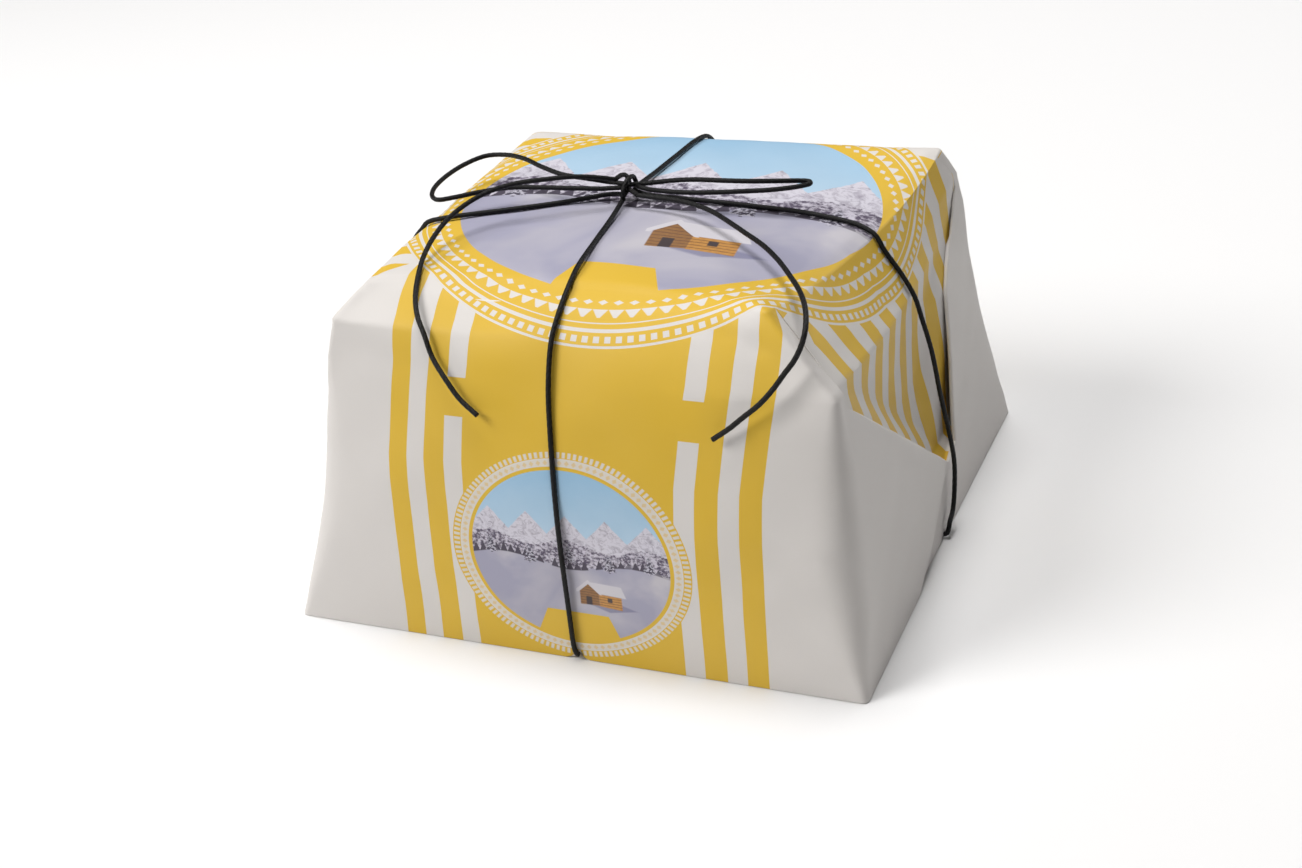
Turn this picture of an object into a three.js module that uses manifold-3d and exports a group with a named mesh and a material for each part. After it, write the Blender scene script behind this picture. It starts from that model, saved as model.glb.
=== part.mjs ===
// A panettone parcel: a domed loaf in its paper case on a square card, closed in a clear bag, folded
// into one printed sheet and tied crosswise with a waxed cord that ends in a bow.
// Millimetres, +Z up. The origin is the centre of the base on the table, +X runs to the right along
// the front of the parcel and -Y is the front.
import * as THREE from 'three';
import { mergeVertices } from 'three/addons/utils/BufferGeometryUtils.js';
import Module from 'manifold-3d';

const wasm = await Module();
wasm.setup();

// ---- Driving dimensions -------------------------------------------------------------------------
const HALF_X = 122; // half the width of the parcel along its base
const HALF_Y = 120; // half its depth
const TOP = 140; // height of the wrapped top
const SHOULDER = 137; // height at which the walls turn into the top
const PAPER = 1; // the folded sheet, with the air between its layers
const GAP = 0.35; // clearance between pieces that rest on each other

const CORD = 2; // diameter of the waxed cord
const CORD_SIDES = 8;
const CORD_UNDER = { front: 5.5, back: -2, left: -3, right: 0 }; // where it passes under each side

const RIM = 10; // width of the flat crease that the parcel stands on
const RECESS = 4.2; // height of the folded underside behind that crease
const HOLLOW = 7.4; // height of the underside at its centre, over the crossing cords
const DENT = 4.8; // size of the dent that each cord presses into the crease
const FOLD_GAP = 6; // half the gap that the folded-under corners leave at the centre

const CARD = 2.5; // the square card under the loaf
const CASE = 0.8; // the paper baking case
const CASE_TOP = 76; // height of its rim
const CASE_RADIUS = 95.5;
const BAG = 0.4; // the clear bag
const BAG_RADIUS = 98;
const BAG_MOUTH = 133; // height of its gathered mouth

// Each corner of the sheet leans in from the base to its ear, then follows the crease of the hip up
// to the top.
const CORNERS = {
  frontLeft: [[-HALF_X, -HALF_Y, 0], [-96.5, -95, 125.5], [-85.5, -84, SHOULDER]],
  frontRight: [[HALF_X, -HALF_Y, 0], [117.5, -114, 60], [109.5, -98, 111], [80.5, -85, SHOULDER]],
  backRight: [[HALF_X, HALF_Y, 0], [103, 104, 124], [98.5, 95, SHOULDER]],
  backLeft: [[-HALF_X, HALF_Y, 0], [-109.5, 103, 115], [-100, 100, SHOULDER]],
};

// Depth of the front and of the back at mid width, as [height, distance from the centre].
const FRONT = [[0, 120], [62, 117], [96, 109.5], [111, 104], [125, 96.5], [131, 90], [135, 83], [SHOULDER, 76]];
const BACK = [[0, 120], [62, 119], [96, 114.5], [125, 107.5], [131, 104.5], [135, 101], [SHOULDER, 98]];

// The end flaps of a side close like an envelope. Each flap's folded edge runs down from the ear at
// its corner, and below the front flap's point its edge runs back to the base.
const FLAPS = {
  right: {
    front: [[0, -46], [22, 0], [29, 15], [111, -98]],
    back: [[0, -45], [22, 1], [29, 33], [40, 37], [87, 56], [124, 104]],
    bow: 1,
  },
  left: {
    front: [[0, -40], [22, 0], [29, 12], [125.5, -95]],
    back: [[0, -39], [22, 1], [29, 30], [45, 38], [115, 103]],
    bow: 1.5,
  },
};
// How far the tucked-in side panel lies behind the flaps, as [height, depth].
const TUCK = [[0, 1.2], [22, 1.2], [29, 10], [45, 11.5], [62, 11.5], [80, 9], [96, 6], [111, 3], [125, GAP]];
const BOW_HEIGHT = 30; // height by which the ends have bowed out to their full measure
const BACK_FLAP_STEP = 1.2; // how far the back flap lies behind the front flap
const FLAP_MIN = 4; // width of the strip beside a corner that always lies on the hip

const EAR = 111; // height of the front right ear, up to which the upright bends are rounded
const BEND_RADIUS = 3; // radius of an upright bend at its ends
const BEND_SWELL = 11; // how much wider it is half way up
const BASE_INSET_HEIGHT = 10; // height above which the inner wall keeps its full measure
const ROOF_INSET = [96, 39]; // where the inner wall starts to sink under the roof, and over what height
const FACE_BULGE = 2.5; // how late the front and back curve in towards their corners

const WALL_LEVELS = [0, 10, 22, 29, 45, 62, 80, 96, 111, 118, 125, 131, 135, SHOULDER];
const TOP_RINGS = [[0.93, 138.9], [0.72, 139.6], [0.36, 139.9]]; // [share of the width, height]
const TOP_CENTRE = [0, 4];

// The right side of the top sinks between its two corners: the drop of each wall level at mid depth,
// as [height, drop], and how it fades towards the corners and over the top.
const SAG = [[0, 0], [96, 0], [111, 8], [118, 10], [125, 10.5], [131, 9.5], [135, 8.8], [SHOULDER, 8.5]];
const SAG_MIDDLE = 14;
const SAG_FRONT = 96; // distance from the middle at which the sag has gone, towards the front
const SAG_BACK = 80; // and towards the back
const SAG_EDGE = 91; // width at which the top has sunk by its full measure
const SAG_FADE = 2.5; // how late the sag fades towards the corners
const SAG_CROWN = 1.5; // how late it begins over the top

// ---- Materials ----------------------------------------------------------------------------------
function material(name, color, roughness, options = {}) {
  return new THREE.MeshStandardMaterial({ name, color, roughness, metalness: 0, ...options });
}
const PRINTED_PAPER = material('printed paper', 0xefe3c4, 0.6);
const GREY_CARD = material('grey card', 0xb9b0a2, 0.85);
const BROWN_CASE = material('brown baking paper', 0x6a4327, 0.8);
const CRUST = material('baked crust', 0xa9622b, 0.75);
const CLEAR_FILM = material('clear film', 0xe9ecee, 0.15, { transparent: true, opacity: 0.35 });
const TIE_FOIL = material('gold tie', 0xc9a24a, 0.35);
const WAXED_CORD = material('black waxed cord', 0x17171a, 0.5);

// ---- Helpers ------------------------------------------------------------------------------------
// The value at height z of a table of [height, value] pairs.
function tableAt(table, z) {
  let below = table[0];
  for (const entry of table) {
    if (entry[0] >= z) {
      const share = entry[0] === below[0] ? 0 : (z - below[0]) / (entry[0] - below[0]);
      return below[1] + (entry[1] - below[1]) * share;
    }
    below = entry;
  }
  return below[1];
}

function cornerAt(name, z) {
  const path = CORNERS[name];
  const x = tableAt(path.map((point) => [point[2], point[0]]), z);
  const y = tableAt(path.map((point) => [point[2], point[1]]), z);
  return new THREE.Vector2(x, y);
}

function toSolid(geometry) {
  const bare = geometry.clone();
  bare.deleteAttribute('normal');
  bare.deleteAttribute('uv');
  const merged = mergeVertices(bare, 1e-4);
  const vertProperties = new Float32Array(merged.attributes.position.array);
  const triVerts = new Uint32Array(merged.index.array);
  return new wasm.Manifold(new wasm.Mesh({ numProp: 3, vertProperties, triVerts }));
}

function toGeometry(solid) {
  const mesh = solid.getMesh();
  const geometry = new THREE.BufferGeometry();
  geometry.setAttribute('position', new THREE.BufferAttribute(new Float32Array(mesh.vertProperties), 3));
  geometry.setIndex(new THREE.BufferAttribute(new Uint32Array(mesh.triVerts), 1));
  geometry.computeVertexNormals();
  return geometry;
}

function box(fromX, toX, fromY, toY, fromZ, toZ) {
  const geometry = new THREE.BoxGeometry(toX - fromX, toY - fromY, toZ - fromZ);
  geometry.translate((fromX + toX) / 2, (fromY + toY) / 2, (fromZ + toZ) / 2);
  return geometry;
}

function pieceOf(name, geometry, pieceMaterial) {
  const mesh = new THREE.Mesh(geometry, pieceMaterial);
  mesh.name = name;
  return mesh;
}

// ---- The wrapping paper -------------------------------------------------------------------------
// One end of the parcel: the front flap, the tucked-in panel and the back flap, from front to back.
function endPoints(flaps, outward, front, back, radius, z, inset) {
  const from = front.y + radius;
  const to = back.y - radius;
  const frontEdge = Math.max(tableAt(flaps.front, z), from - inset + FLAP_MIN) - inset;
  const backEdge = Math.min(tableAt(flaps.back, z), to + inset - FLAP_MIN) + inset;
  const tuck = tableAt(TUCK, z);
  const middle = (front.y + back.y) / 2;
  const half = (back.y - front.y) / 2;
  const faceX = (y, sunk) => {
    const share = (y - front.y) / (back.y - front.y);
    const bow = flaps.bow * Math.min(1, z / BOW_HEIGHT) * (1 - ((y - middle) / half) ** 2);
    return front.x + (back.x - front.x) * share + outward * (bow - sunk);
  };
  const points = [];
  for (let i = 0; i <= 3; i += 1) {
    const y = from + (frontEdge - from) * (i / 3);
    points.push([faceX(y, 0), y]);
  }
  for (let i = 0; i <= 4; i += 1) {
    const y = frontEdge + (backEdge - frontEdge) * (i / 4);
    points.push([faceX(y, tuck), y]);
  }
  for (let i = 0; i <= 3; i += 1) {
    const y = backEdge + (to - backEdge) * (i / 3);
    const step = Math.min(BACK_FLAP_STEP, tuck * 0.9) * (1 - i / 3);
    points.push([faceX(y, step), y]);
  }
  return points;
}

// The front or the back, from left to right, bowed out at mid width.
function facePoints(outward, left, right, reach, radius) {
  const chord = (left.y + right.y) / 2;
  const bow = reach - outward * chord;
  const middle = (left.x + right.x) / 2;
  const half = (right.x - left.x) / 2;
  const points = [];
  for (let i = 0; i <= 8; i += 1) {
    const x = left.x + radius + (right.x - left.x - 2 * radius) * (i / 8);
    const share = (x - left.x) / (right.x - left.x);
    const lift = bow * (1 - Math.abs((x - middle) / half) ** FACE_BULGE);
    points.push([x, left.y + (right.y - left.y) * share + outward * lift]);
  }
  return points;
}

function roundedCorner(corner, signX, signY, radius) {
  const cut = radius * (1 - Math.SQRT1_2);
  return [[corner.x - signX * cut, corner.y - signY * cut]];
}

// The outline of the parcel at one height, counter-clockwise from the front left corner.
function outlineAt(z, inset) {
  const radius = z < EAR ? BEND_RADIUS + BEND_SWELL * Math.sin((Math.PI * z) / EAR) : BEND_RADIUS;
  const frontLeft = cornerAt('frontLeft', z).add(new THREE.Vector2(inset, inset));
  const frontRight = cornerAt('frontRight', z).add(new THREE.Vector2(-inset, inset));
  const backRight = cornerAt('backRight', z).add(new THREE.Vector2(-inset, -inset));
  const backLeft = cornerAt('backLeft', z).add(new THREE.Vector2(inset, -inset));
  const front = facePoints(-1, frontLeft, frontRight, tableAt(FRONT, z) - inset, radius);
  const right = endPoints(FLAPS.right, 1, frontRight, backRight, radius, z, inset);
  const back = facePoints(1, backLeft, backRight, tableAt(BACK, z) - inset, radius);
  const left = endPoints(FLAPS.left, -1, frontLeft, backLeft, radius, z, inset);
  return [
    ...front,
    ...roundedCorner(frontRight, 1, -1, radius),
    ...right,
    ...roundedCorner(backRight, 1, 1, radius),
    ...back.reverse(),
    ...roundedCorner(backLeft, -1, 1, radius),
    ...left.reverse(),
    ...roundedCorner(frontLeft, -1, -1, radius),
  ];
}

// How far a point of the right side lies below its unsunk height.
function sagAt(x, y, level) {
  const reach = y < SAG_MIDDLE ? SAG_FRONT : SAG_BACK;
  const along = Math.max(0, 1 - Math.abs((y - SAG_MIDDLE) / reach) ** SAG_FADE);
  const across = Math.min(1, Math.max(0, x / SAG_EDGE)) ** SAG_CROWN;
  return tableAt(SAG, level) * along * across;
}

// The whole parcel as a solid, shrunk by the given inset.
function parcelSolid(inset) {
  const rings = WALL_LEVELS.map((z) => {
    const raised = inset * Math.max(0, 1 - z / BASE_INSET_HEIGHT);
    const lowered = inset * THREE.MathUtils.clamp((z - ROOF_INSET[0]) / ROOF_INSET[1], 0, 1);
    return outlineAt(z, inset).map(([x, y]) => [x, y, z + raised - lowered - sagAt(x, y, z)]);
  });
  const shoulder = rings[rings.length - 1];
  for (const [share, height] of TOP_RINGS) {
    const ring = shoulder.map(([shoulderX, shoulderY]) => {
      const x = TOP_CENTRE[0] + (shoulderX - TOP_CENTRE[0]) * share;
      const y = TOP_CENTRE[1] + (shoulderY - TOP_CENTRE[1]) * share;
      return [x, y, height - inset - sagAt(x, y, SHOULDER)];
    });
    rings.push(ring);
  }
  const count = shoulder.length;
  const positions = rings.flat(2);
  const indices = [];
  for (let level = 0; level < rings.length - 1; level += 1) {
    for (let i = 0; i < count; i += 1) {
      const a = level * count + i;
      const b = level * count + ((i + 1) % count);
      indices.push(a, b, b + count, a, b + count, a + count);
    }
  }
  const bottom = positions.length / 3;
  positions.push(0, 0, inset);
  const top = bottom + 1;
  positions.push(TOP_CENTRE[0], TOP_CENTRE[1], TOP - inset);
  const last = (rings.length - 1) * count;
  for (let i = 0; i < count; i += 1) {
    const next = (i + 1) % count;
    indices.push(bottom, next, i);
    indices.push(top, last + i, last + next);
  }
  const geometry = new THREE.BufferGeometry();
  geometry.setAttribute('position', new THREE.Float32BufferAttribute(positions, 3));
  geometry.setIndex(indices);
  return toSolid(geometry);
}

// What is missing under the parcel: the hollow behind the rim crease, rising to the centre, and the
// dent that each end of a cord presses into the crease.
function underside(grow) {
  const halfX = HALF_X - RIM + grow;
  const halfY = HALF_Y - RIM + grow;
  const slab = toSolid(box(-halfX, halfX, -halfY, halfY, -10, RECESS + grow));
  const roof = new THREE.ConeGeometry(Math.SQRT2, HOLLOW - RECESS, 4, 1);
  roof.rotateY(Math.PI / 4);
  roof.rotateX(Math.PI / 2);
  roof.scale(halfX, halfY, 1);
  roof.translate(0, 0, (HOLLOW + RECESS) / 2 + grow);
  const wide = DENT / 2 + grow;
  const high = DENT + grow;
  const reach = HALF_X + 10;
  const dents = [
    box(CORD_UNDER.front - wide, CORD_UNDER.front + wide, -reach, RIM - HALF_Y + 5, -10, high),
    box(CORD_UNDER.back - wide, CORD_UNDER.back + wide, HALF_Y - RIM - 5, reach, -10, high),
    box(-reach, RIM - HALF_X + 5, CORD_UNDER.left - wide, CORD_UNDER.left + wide, -10, high),
    box(HALF_X - RIM - 5, reach, CORD_UNDER.right - wide, CORD_UNDER.right + wide, -10, high),
  ];
  return dents.reduce((sum, dent) => sum.add(toSolid(dent)), slab.add(toSolid(roof)));
}

function wrappingPaper() {
  const outside = parcelSolid(0).subtract(underside(0));
  const inside = parcelSolid(PAPER).subtract(underside(PAPER));
  const gap = toSolid(box(-FOLD_GAP, FOLD_GAP, -FOLD_GAP, FOLD_GAP, 0, HOLLOW + 2 * PAPER));
  return pieceOf('wrapping_paper', toGeometry(outside.subtract(inside).subtract(gap)), PRINTED_PAPER);
}

// ---- What the paper holds -----------------------------------------------------------------------
const CARD_BASE = HOLLOW + PAPER + GAP;
const BAG_BASE = CARD_BASE + CARD + GAP;
const CASE_BASE = BAG_BASE + BAG + GAP;
const LOAF_BASE = CASE_BASE + CASE + GAP;

function turned(profile, segments) {
  const points = profile.map(([r, z]) => new THREE.Vector2(r, z));
  const geometry = new THREE.LatheGeometry(points, segments);
  geometry.rotateX(Math.PI / 2);
  return toGeometry(toSolid(geometry));
}

function baseCard() {
  const halfX = HALF_X - 6;
  const halfY = HALF_Y - 6;
  return pieceOf('base_card', box(-halfX, halfX, -halfY, halfY, CARD_BASE, CARD_BASE + CARD), GREY_CARD);
}

function bakingCase() {
  const foot = CASE_RADIUS - 1.5;
  const profile = [
    [0, CASE_BASE],
    [foot, CASE_BASE],
    [CASE_RADIUS, CASE_TOP],
    [CASE_RADIUS - CASE, CASE_TOP],
    [foot - CASE, CASE_BASE + CASE],
    [0, CASE_BASE + CASE],
  ];
  return pieceOf('baking_case', turned(profile, 48), BROWN_CASE);
}

function panettone() {
  const foot = CASE_RADIUS - 1.5 - CASE - GAP;
  const waist = CASE_RADIUS - CASE - GAP;
  const profile = [
    [0, LOAF_BASE],
    [foot, LOAF_BASE],
    [waist, CASE_TOP],
    [waist + 0.3, CASE_TOP + 5],
    [92, 90],
    [84, 101],
    [70, 110],
    [50, 116.5],
    [26, 120],
    [0, 121],
  ];
  return pieceOf('panettone', turned(profile, 48), CRUST);
}

function clearBag() {
  const outside = [
    [BAG_RADIUS - 1, BAG_BASE],
    [BAG_RADIUS, CASE_TOP],
    [BAG_RADIUS - 2, 90],
    [88, 103],
    [72, 113.5],
    [50, 120],
    [26, 123.5],
    [8, 125.5],
    [5, 128],
    [6, BAG_MOUTH],
  ];
  const inside = outside.map(([r, z]) => [r - BAG, z]).reverse();
  const last = inside.length - 1;
  inside[0][1] = BAG_MOUTH;
  inside[last][1] = BAG_BASE + BAG;
  const profile = [[0, BAG_BASE], ...outside, ...inside, [0, BAG_BASE + BAG]];
  return pieceOf('clear_bag', turned(profile, 40), CLEAR_FILM);
}

function bagTie() {
  const ring = new THREE.TorusGeometry(7, 0.9, 8, 24);
  ring.translate(0, 0, 128.5);
  return pieceOf('bag_tie', ring, TIE_FOIL);
}

// ---- The cord -----------------------------------------------------------------------------------
// A cord's route as a curve that is stepped evenly between its own points, so that a bend with close
// points gets short steps.
class Route extends THREE.CatmullRomCurve3 {
  getUtoTmapping(u) {
    return u;
  }
}

function cordAlong(points, stepsPerSpan) {
  const path = new Route(points.map((point) => new THREE.Vector3(...point)), false, 'centripetal');
  const section = new THREE.Shape();
  for (let i = 0; i < CORD_SIDES; i += 1) {
    const angle = (2 * Math.PI * (i + 0.5)) / CORD_SIDES;
    const x = (CORD / 2) * Math.cos(angle);
    const y = (CORD / 2) * Math.sin(angle);
    if (i === 0) {
      section.moveTo(x, y);
    } else {
      section.lineTo(x, y);
    }
  }
  section.closePath();
  const steps = (points.length - 1) * stepsPerSpan;
  return new THREE.ExtrudeGeometry(section, { steps, extrudePath: path, bevelEnabled: false });
}

// From the knot over the front, under the base and up the back to the knot.
const TIE_FRONT_BACK = [
  [-12, 1.5, 142.3], [-9.5, -15, 141.5], [-6, -40.1, 141.1], [-2.1, -64.2, 141],
  [-0.5, -75.1, 139], [0.4, -83.1, 136.4], [0.7, -90.7, 132.1], [0.6, -97.5, 125.8],
  [1, -105.2, 111.4], [2.1, -110.7, 96.1], [3.9, -118.3, 61.8], [4.6, -120.4, 23], [5, -121.1, 6.8],
  [5.3, -120.9, 4.2], [5.5, -119.9, 2.3], [5.5, -118, 1.7], [5.2, -100, 1.7], [2.5, -40, 1.7],
  [0.5, 40, 1.7], [-2, 100, 1.7], [-2, 118, 1.7], [-2, 120, 2.3], [-2, 121, 4.2], [-2, 121.4, 7.5],
  [-3, 120.9, 30], [-6, 120.3, 62.5], [-8.5, 115.7, 96.7], [-10, 108.7, 125.5],
  [-10.6, 105.8, 131.6], [-11, 102.2, 135.9], [-11.4, 98, 138.5], [-11.8, 88, 140.4],
  [-12.4, 62, 141.1], [-13, 40, 141.4], [-13, 23, 142.3],
];
// From the knot over the right side, under the base and up the left side to the knot.
const TIE_LEFT_RIGHT = [
  [-1, 10.5, 142.2], [17, 11.6, 140.8], [42.7, 13.4, 138.5], [61.5, 14.6, 136.5], [74.8, 14.6, 134.5],
  [83, 14, 133.1], [88.3, 13.2, 131.4], [92.2, 12.5, 129], [95.7, 12.2, 123], [101.9, 14, 112.3],
  [106.6, 14.9, 102.7], [109.4, 15.1, 92.8], [112.9, 15.2, 79.2], [116.2, 15.3, 59],
  [119.3, 15.5, 42.4], [121.2, 15.6, 29], [121.9, 13, 19], [122.2, 8, 9.5], [122.3, 2, 6.8],
  [122.2, 0.3, 4.4], [121.4, 0, 2.4], [119.5, 0, 1.7], [100, -0.3, 1.9], [40, -1, 3.4], [8, -1.5, 4],
  [-8, -1.7, 4], [-40, -2, 3.4], [-100, -3, 1.9], [-119.5, -3, 1.7], [-121.4, -3, 2.4],
  [-122, -3, 4.4], [-122, -3, 7.5], [-120, -6, 30], [-114.5, -9.5, 62], [-109, -13.5, 92],
  [-104.6, -17.5, 113], [-103.4, -20, 121.6], [-99.6, -20.8, 130], [-94.5, -22, 135.3],
  [-90.9, -22.6, 138.6], [-84, -21.5, 140.3], [-60, -11, 141.1], [-36, 1.5, 141.5], [-23, 9, 142.2],
];
const LOOP_LEFT = [
  [-22, 12, 146.8], [-30, 9.5, 148.8], [-41, 9, 150.3], [-54, 15, 151.2], [-67, 24, 151.3],
  [-78, 28.5, 151], [-87, 27.5, 150.6], [-92.5, 18, 150], [-95, 3, 149], [-94, -9, 148],
  [-91, -15.5, 147.2], [-87, -18, 147], [-81, -15, 147.2], [-73, -8.5, 147.4], [-62, -2, 147.6],
  [-48, 0.5, 147.4], [-36, 2.5, 146.9], [-23, 6, 145.9],
];
const LOOP_RIGHT = [
  [-2, 13, 147], [9, 11.5, 149], [20, 9, 150.6], [31, 8, 151], [42, 10.5, 150.3], [52, 15.5, 149],
  [59.5, 20, 147.8], [63, 20.8, 147.4], [64, 19, 147.2], [60, 15.5, 147], [50, 11, 146.8],
  [40, 8.2, 146.8], [30, 5.5, 146.9], [19, 3.5, 147], [9, 4, 146.8], [-1.5, 6.8, 146.2],
];
const TAIL_LEFT = [
  [-15, 4, 151], [-20, 0, 153], [-29, -5.5, 155], [-40, -12, 155.6], [-50, -16.5, 155.2],
  [-58.5, -22, 153.8], [-64.5, -30, 151.8], [-68.5, -41, 149], [-69, -54, 146], [-67.5, -66, 142.9],
  [-64.2, -77.5, 139.8], [-60.4, -88.4, 135], [-56.4, -95.4, 130.3], [-51.8, -100, 124.7],
  [-48, -103.2, 117.6], [-41.2, -107.2, 110.6], [-35, -109.6, 104.2], [-27.3, -111.6, 99],
];
const TAIL_RIGHT = [
  [-4.5, 1.5, 145.6], [3, 0, 145.6], [13, -1.5, 145.4], [23, -4.5, 145], [32, -9.5, 144.5],
  [42, -17.5, 143.8], [52, -26.5, 143.2], [63, -37, 142.8], [73, -49, 142.4], [82, -62, 142],
  [89, -73, 141.6], [94, -82.5, 140.8], [97, -90, 138.8], [98, -95, 135.6], [97, -97, 131.2],
  [94.8, -99, 126.4], [91.6, -101.4, 122], [88.2, -103.6, 117.2], [83.6, -106.2, 112],
  [77.6, -108, 107], [72.8, -109.6, 103], [66.6, -110.8, 98.6],
];

// The bow knot: a band wrapped round the strands, with a stub where each strand comes out.
const KNOT = new THREE.Vector3(-12.5, 9.5, 146);
const KNOT_CORE = [6.5, 4.6, 2.9]; // half sizes of its middle
const KNOT_BAND = 3.4; // radius of the turn round it
const STUB = 2.7; // how far a strand goes straight into the knot

function stubFor(route, fromEnd) {
  const [first, second] = fromEnd ? [route.at(-1), route.at(-2)] : [route[0], route[1]];
  const end = new THREE.Vector3(...first);
  const back = end.clone().sub(new THREE.Vector3(...second)).normalize();
  const outer = end.clone().addScaledVector(back, GAP);
  const core = KNOT.clone().lerp(outer, 0.35).setZ(outer.z * 0.5 + KNOT.z * 0.5);
  const inner = outer.clone().addScaledVector(back, STUB);
  return toSolid(cordAlong([outer.toArray(), inner.toArray(), core.toArray()], 2));
}

function knot() {
  const core = new THREE.SphereGeometry(1, 16, 10);
  core.scale(...KNOT_CORE);
  core.translate(...KNOT.toArray());
  const band = new THREE.TorusGeometry(KNOT_BAND, CORD / 2, 8, 20);
  band.rotateY(Math.PI / 2);
  band.scale(1, 1.25, 1);
  band.translate(...KNOT.toArray());
  const ends = [TIE_FRONT_BACK, TIE_LEFT_RIGHT, LOOP_LEFT, LOOP_RIGHT].flatMap((route) => [
    stubFor(route, false),
    stubFor(route, true),
  ]);
  ends.push(stubFor(TAIL_LEFT, false), stubFor(TAIL_RIGHT, false));
  const solid = ends.reduce((sum, end) => sum.add(end), toSolid(core).add(toSolid(band)));
  return pieceOf('cord_knot', toGeometry(solid), WAXED_CORD);
}

function cordPieces() {
  return [
    pieceOf('cord_round_front_back', cordAlong(TIE_FRONT_BACK, 2), WAXED_CORD),
    pieceOf('cord_round_left_right', cordAlong(TIE_LEFT_RIGHT, 2), WAXED_CORD),
    knot(),
    pieceOf('bow_loop_left', cordAlong(LOOP_LEFT, 2), WAXED_CORD),
    pieceOf('bow_loop_right', cordAlong(LOOP_RIGHT, 2), WAXED_CORD),
    pieceOf('bow_tail_left', cordAlong(TAIL_LEFT, 2), WAXED_CORD),
    pieceOf('bow_tail_right', cordAlong(TAIL_RIGHT, 2), WAXED_CORD),
  ];
}

// ---- The parcel ---------------------------------------------------------------------------------
const parcel = new THREE.Group();
parcel.add(
  wrappingPaper(),
  baseCard(),
  bakingCase(),
  panettone(),
  clearBag(),
  bagTie(),
  ...cordPieces(),
);

export default parcel;
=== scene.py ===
# A panettone parcel: one printed sheet folded round a loaf and tied crosswise with a black waxed cord
# that ends in a bow. Shapes are worked out in millimetres and written to the meshes in metres, in the
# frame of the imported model: +Z up, the centre of the base at the origin and the front facing -Y.
import math

import bpy
import bmesh
import numpy as np
from mathutils import Matrix, Vector


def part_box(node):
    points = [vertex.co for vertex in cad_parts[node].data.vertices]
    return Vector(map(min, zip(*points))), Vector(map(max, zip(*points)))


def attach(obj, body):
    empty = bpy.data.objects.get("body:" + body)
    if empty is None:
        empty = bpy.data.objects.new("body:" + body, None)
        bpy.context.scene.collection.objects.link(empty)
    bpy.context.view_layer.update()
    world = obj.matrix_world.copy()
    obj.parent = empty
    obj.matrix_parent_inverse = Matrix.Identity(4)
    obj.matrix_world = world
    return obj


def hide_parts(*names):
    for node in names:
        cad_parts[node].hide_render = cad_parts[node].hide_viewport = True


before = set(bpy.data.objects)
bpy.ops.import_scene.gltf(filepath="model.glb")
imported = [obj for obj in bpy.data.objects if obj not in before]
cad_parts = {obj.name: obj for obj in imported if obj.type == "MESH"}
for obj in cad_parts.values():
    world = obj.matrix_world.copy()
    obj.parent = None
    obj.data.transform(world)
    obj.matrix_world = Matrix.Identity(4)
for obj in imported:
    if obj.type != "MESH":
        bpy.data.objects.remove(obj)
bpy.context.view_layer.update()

MM = 0.001

# ---- Measures, in millimetres -------------------------------------------------------------------
PAPER_LOW, PAPER_HIGH = ([side / MM for side in corner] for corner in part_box("wrapping_paper"))
HALF_X = PAPER_HIGH[0]
HALF_Y = PAPER_HIGH[1]
TOP = PAPER_HIGH[2]
RECESS = 4.2  # height of the folded underside behind the crease that the parcel stands on
HOLLOW = 7.4  # height of the underside at its centre, over the crossing cords
CORD = 2.0  # diameter of the waxed cord


# ---- Mesh helpers -------------------------------------------------------------------------------
def mesh_object(name, points_mm, faces, material=None, smooth=True):
    """An object at the origin whose mesh is in metres."""
    mesh = bpy.data.meshes.new(name)
    mesh.from_pydata([tuple(float(c) * MM for c in point) for point in points_mm], [], faces)
    mesh.update()
    if smooth:
        mesh.polygons.foreach_set("use_smooth", [True] * len(mesh.polygons))
    piece = bpy.data.objects.new(name, mesh)
    bpy.context.scene.collection.objects.link(piece)
    if material is not None:
        mesh.materials.append(material)
    return piece


def grid_faces(rows, columns, around=True):
    """Quads between the rows of a grid, each row closed on itself if it goes around."""
    faces = []
    last = columns if around else columns - 1
    for row in range(rows - 1):
        for column in range(last):
            a = row * columns + column
            b = row * columns + (column + 1) % columns
            faces.append((a, b, b + columns, a + columns))
    return faces


# ---- Camera -------------------------------------------------------------------------------------
def make_camera():
    yaw, pitch, roll = (math.radians(angle) for angle in (-25.4, -27.2, -6.35))
    ahead = Vector((math.sin(yaw) * math.cos(pitch), math.cos(yaw) * math.cos(pitch), math.sin(pitch)))
    level = Vector((math.cos(yaw), -math.sin(yaw), 0))
    upright = level.cross(ahead)
    right = level * math.cos(roll) + upright * math.sin(roll)
    up = upright * math.cos(roll) - level * math.sin(roll)
    data = bpy.data.cameras.new("camera")
    data.sensor_width = 36
    data.lens = 47.83
    camera = bpy.data.objects.new("camera", data)
    rotation = Matrix((right, up, -ahead)).transposed().to_4x4()
    camera.matrix_world = Matrix.Translation((0.2798, -0.6096, 0.3821)) @ rotation
    bpy.context.scene.collection.objects.link(camera)
    bpy.context.scene.camera = camera


make_camera()


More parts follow.
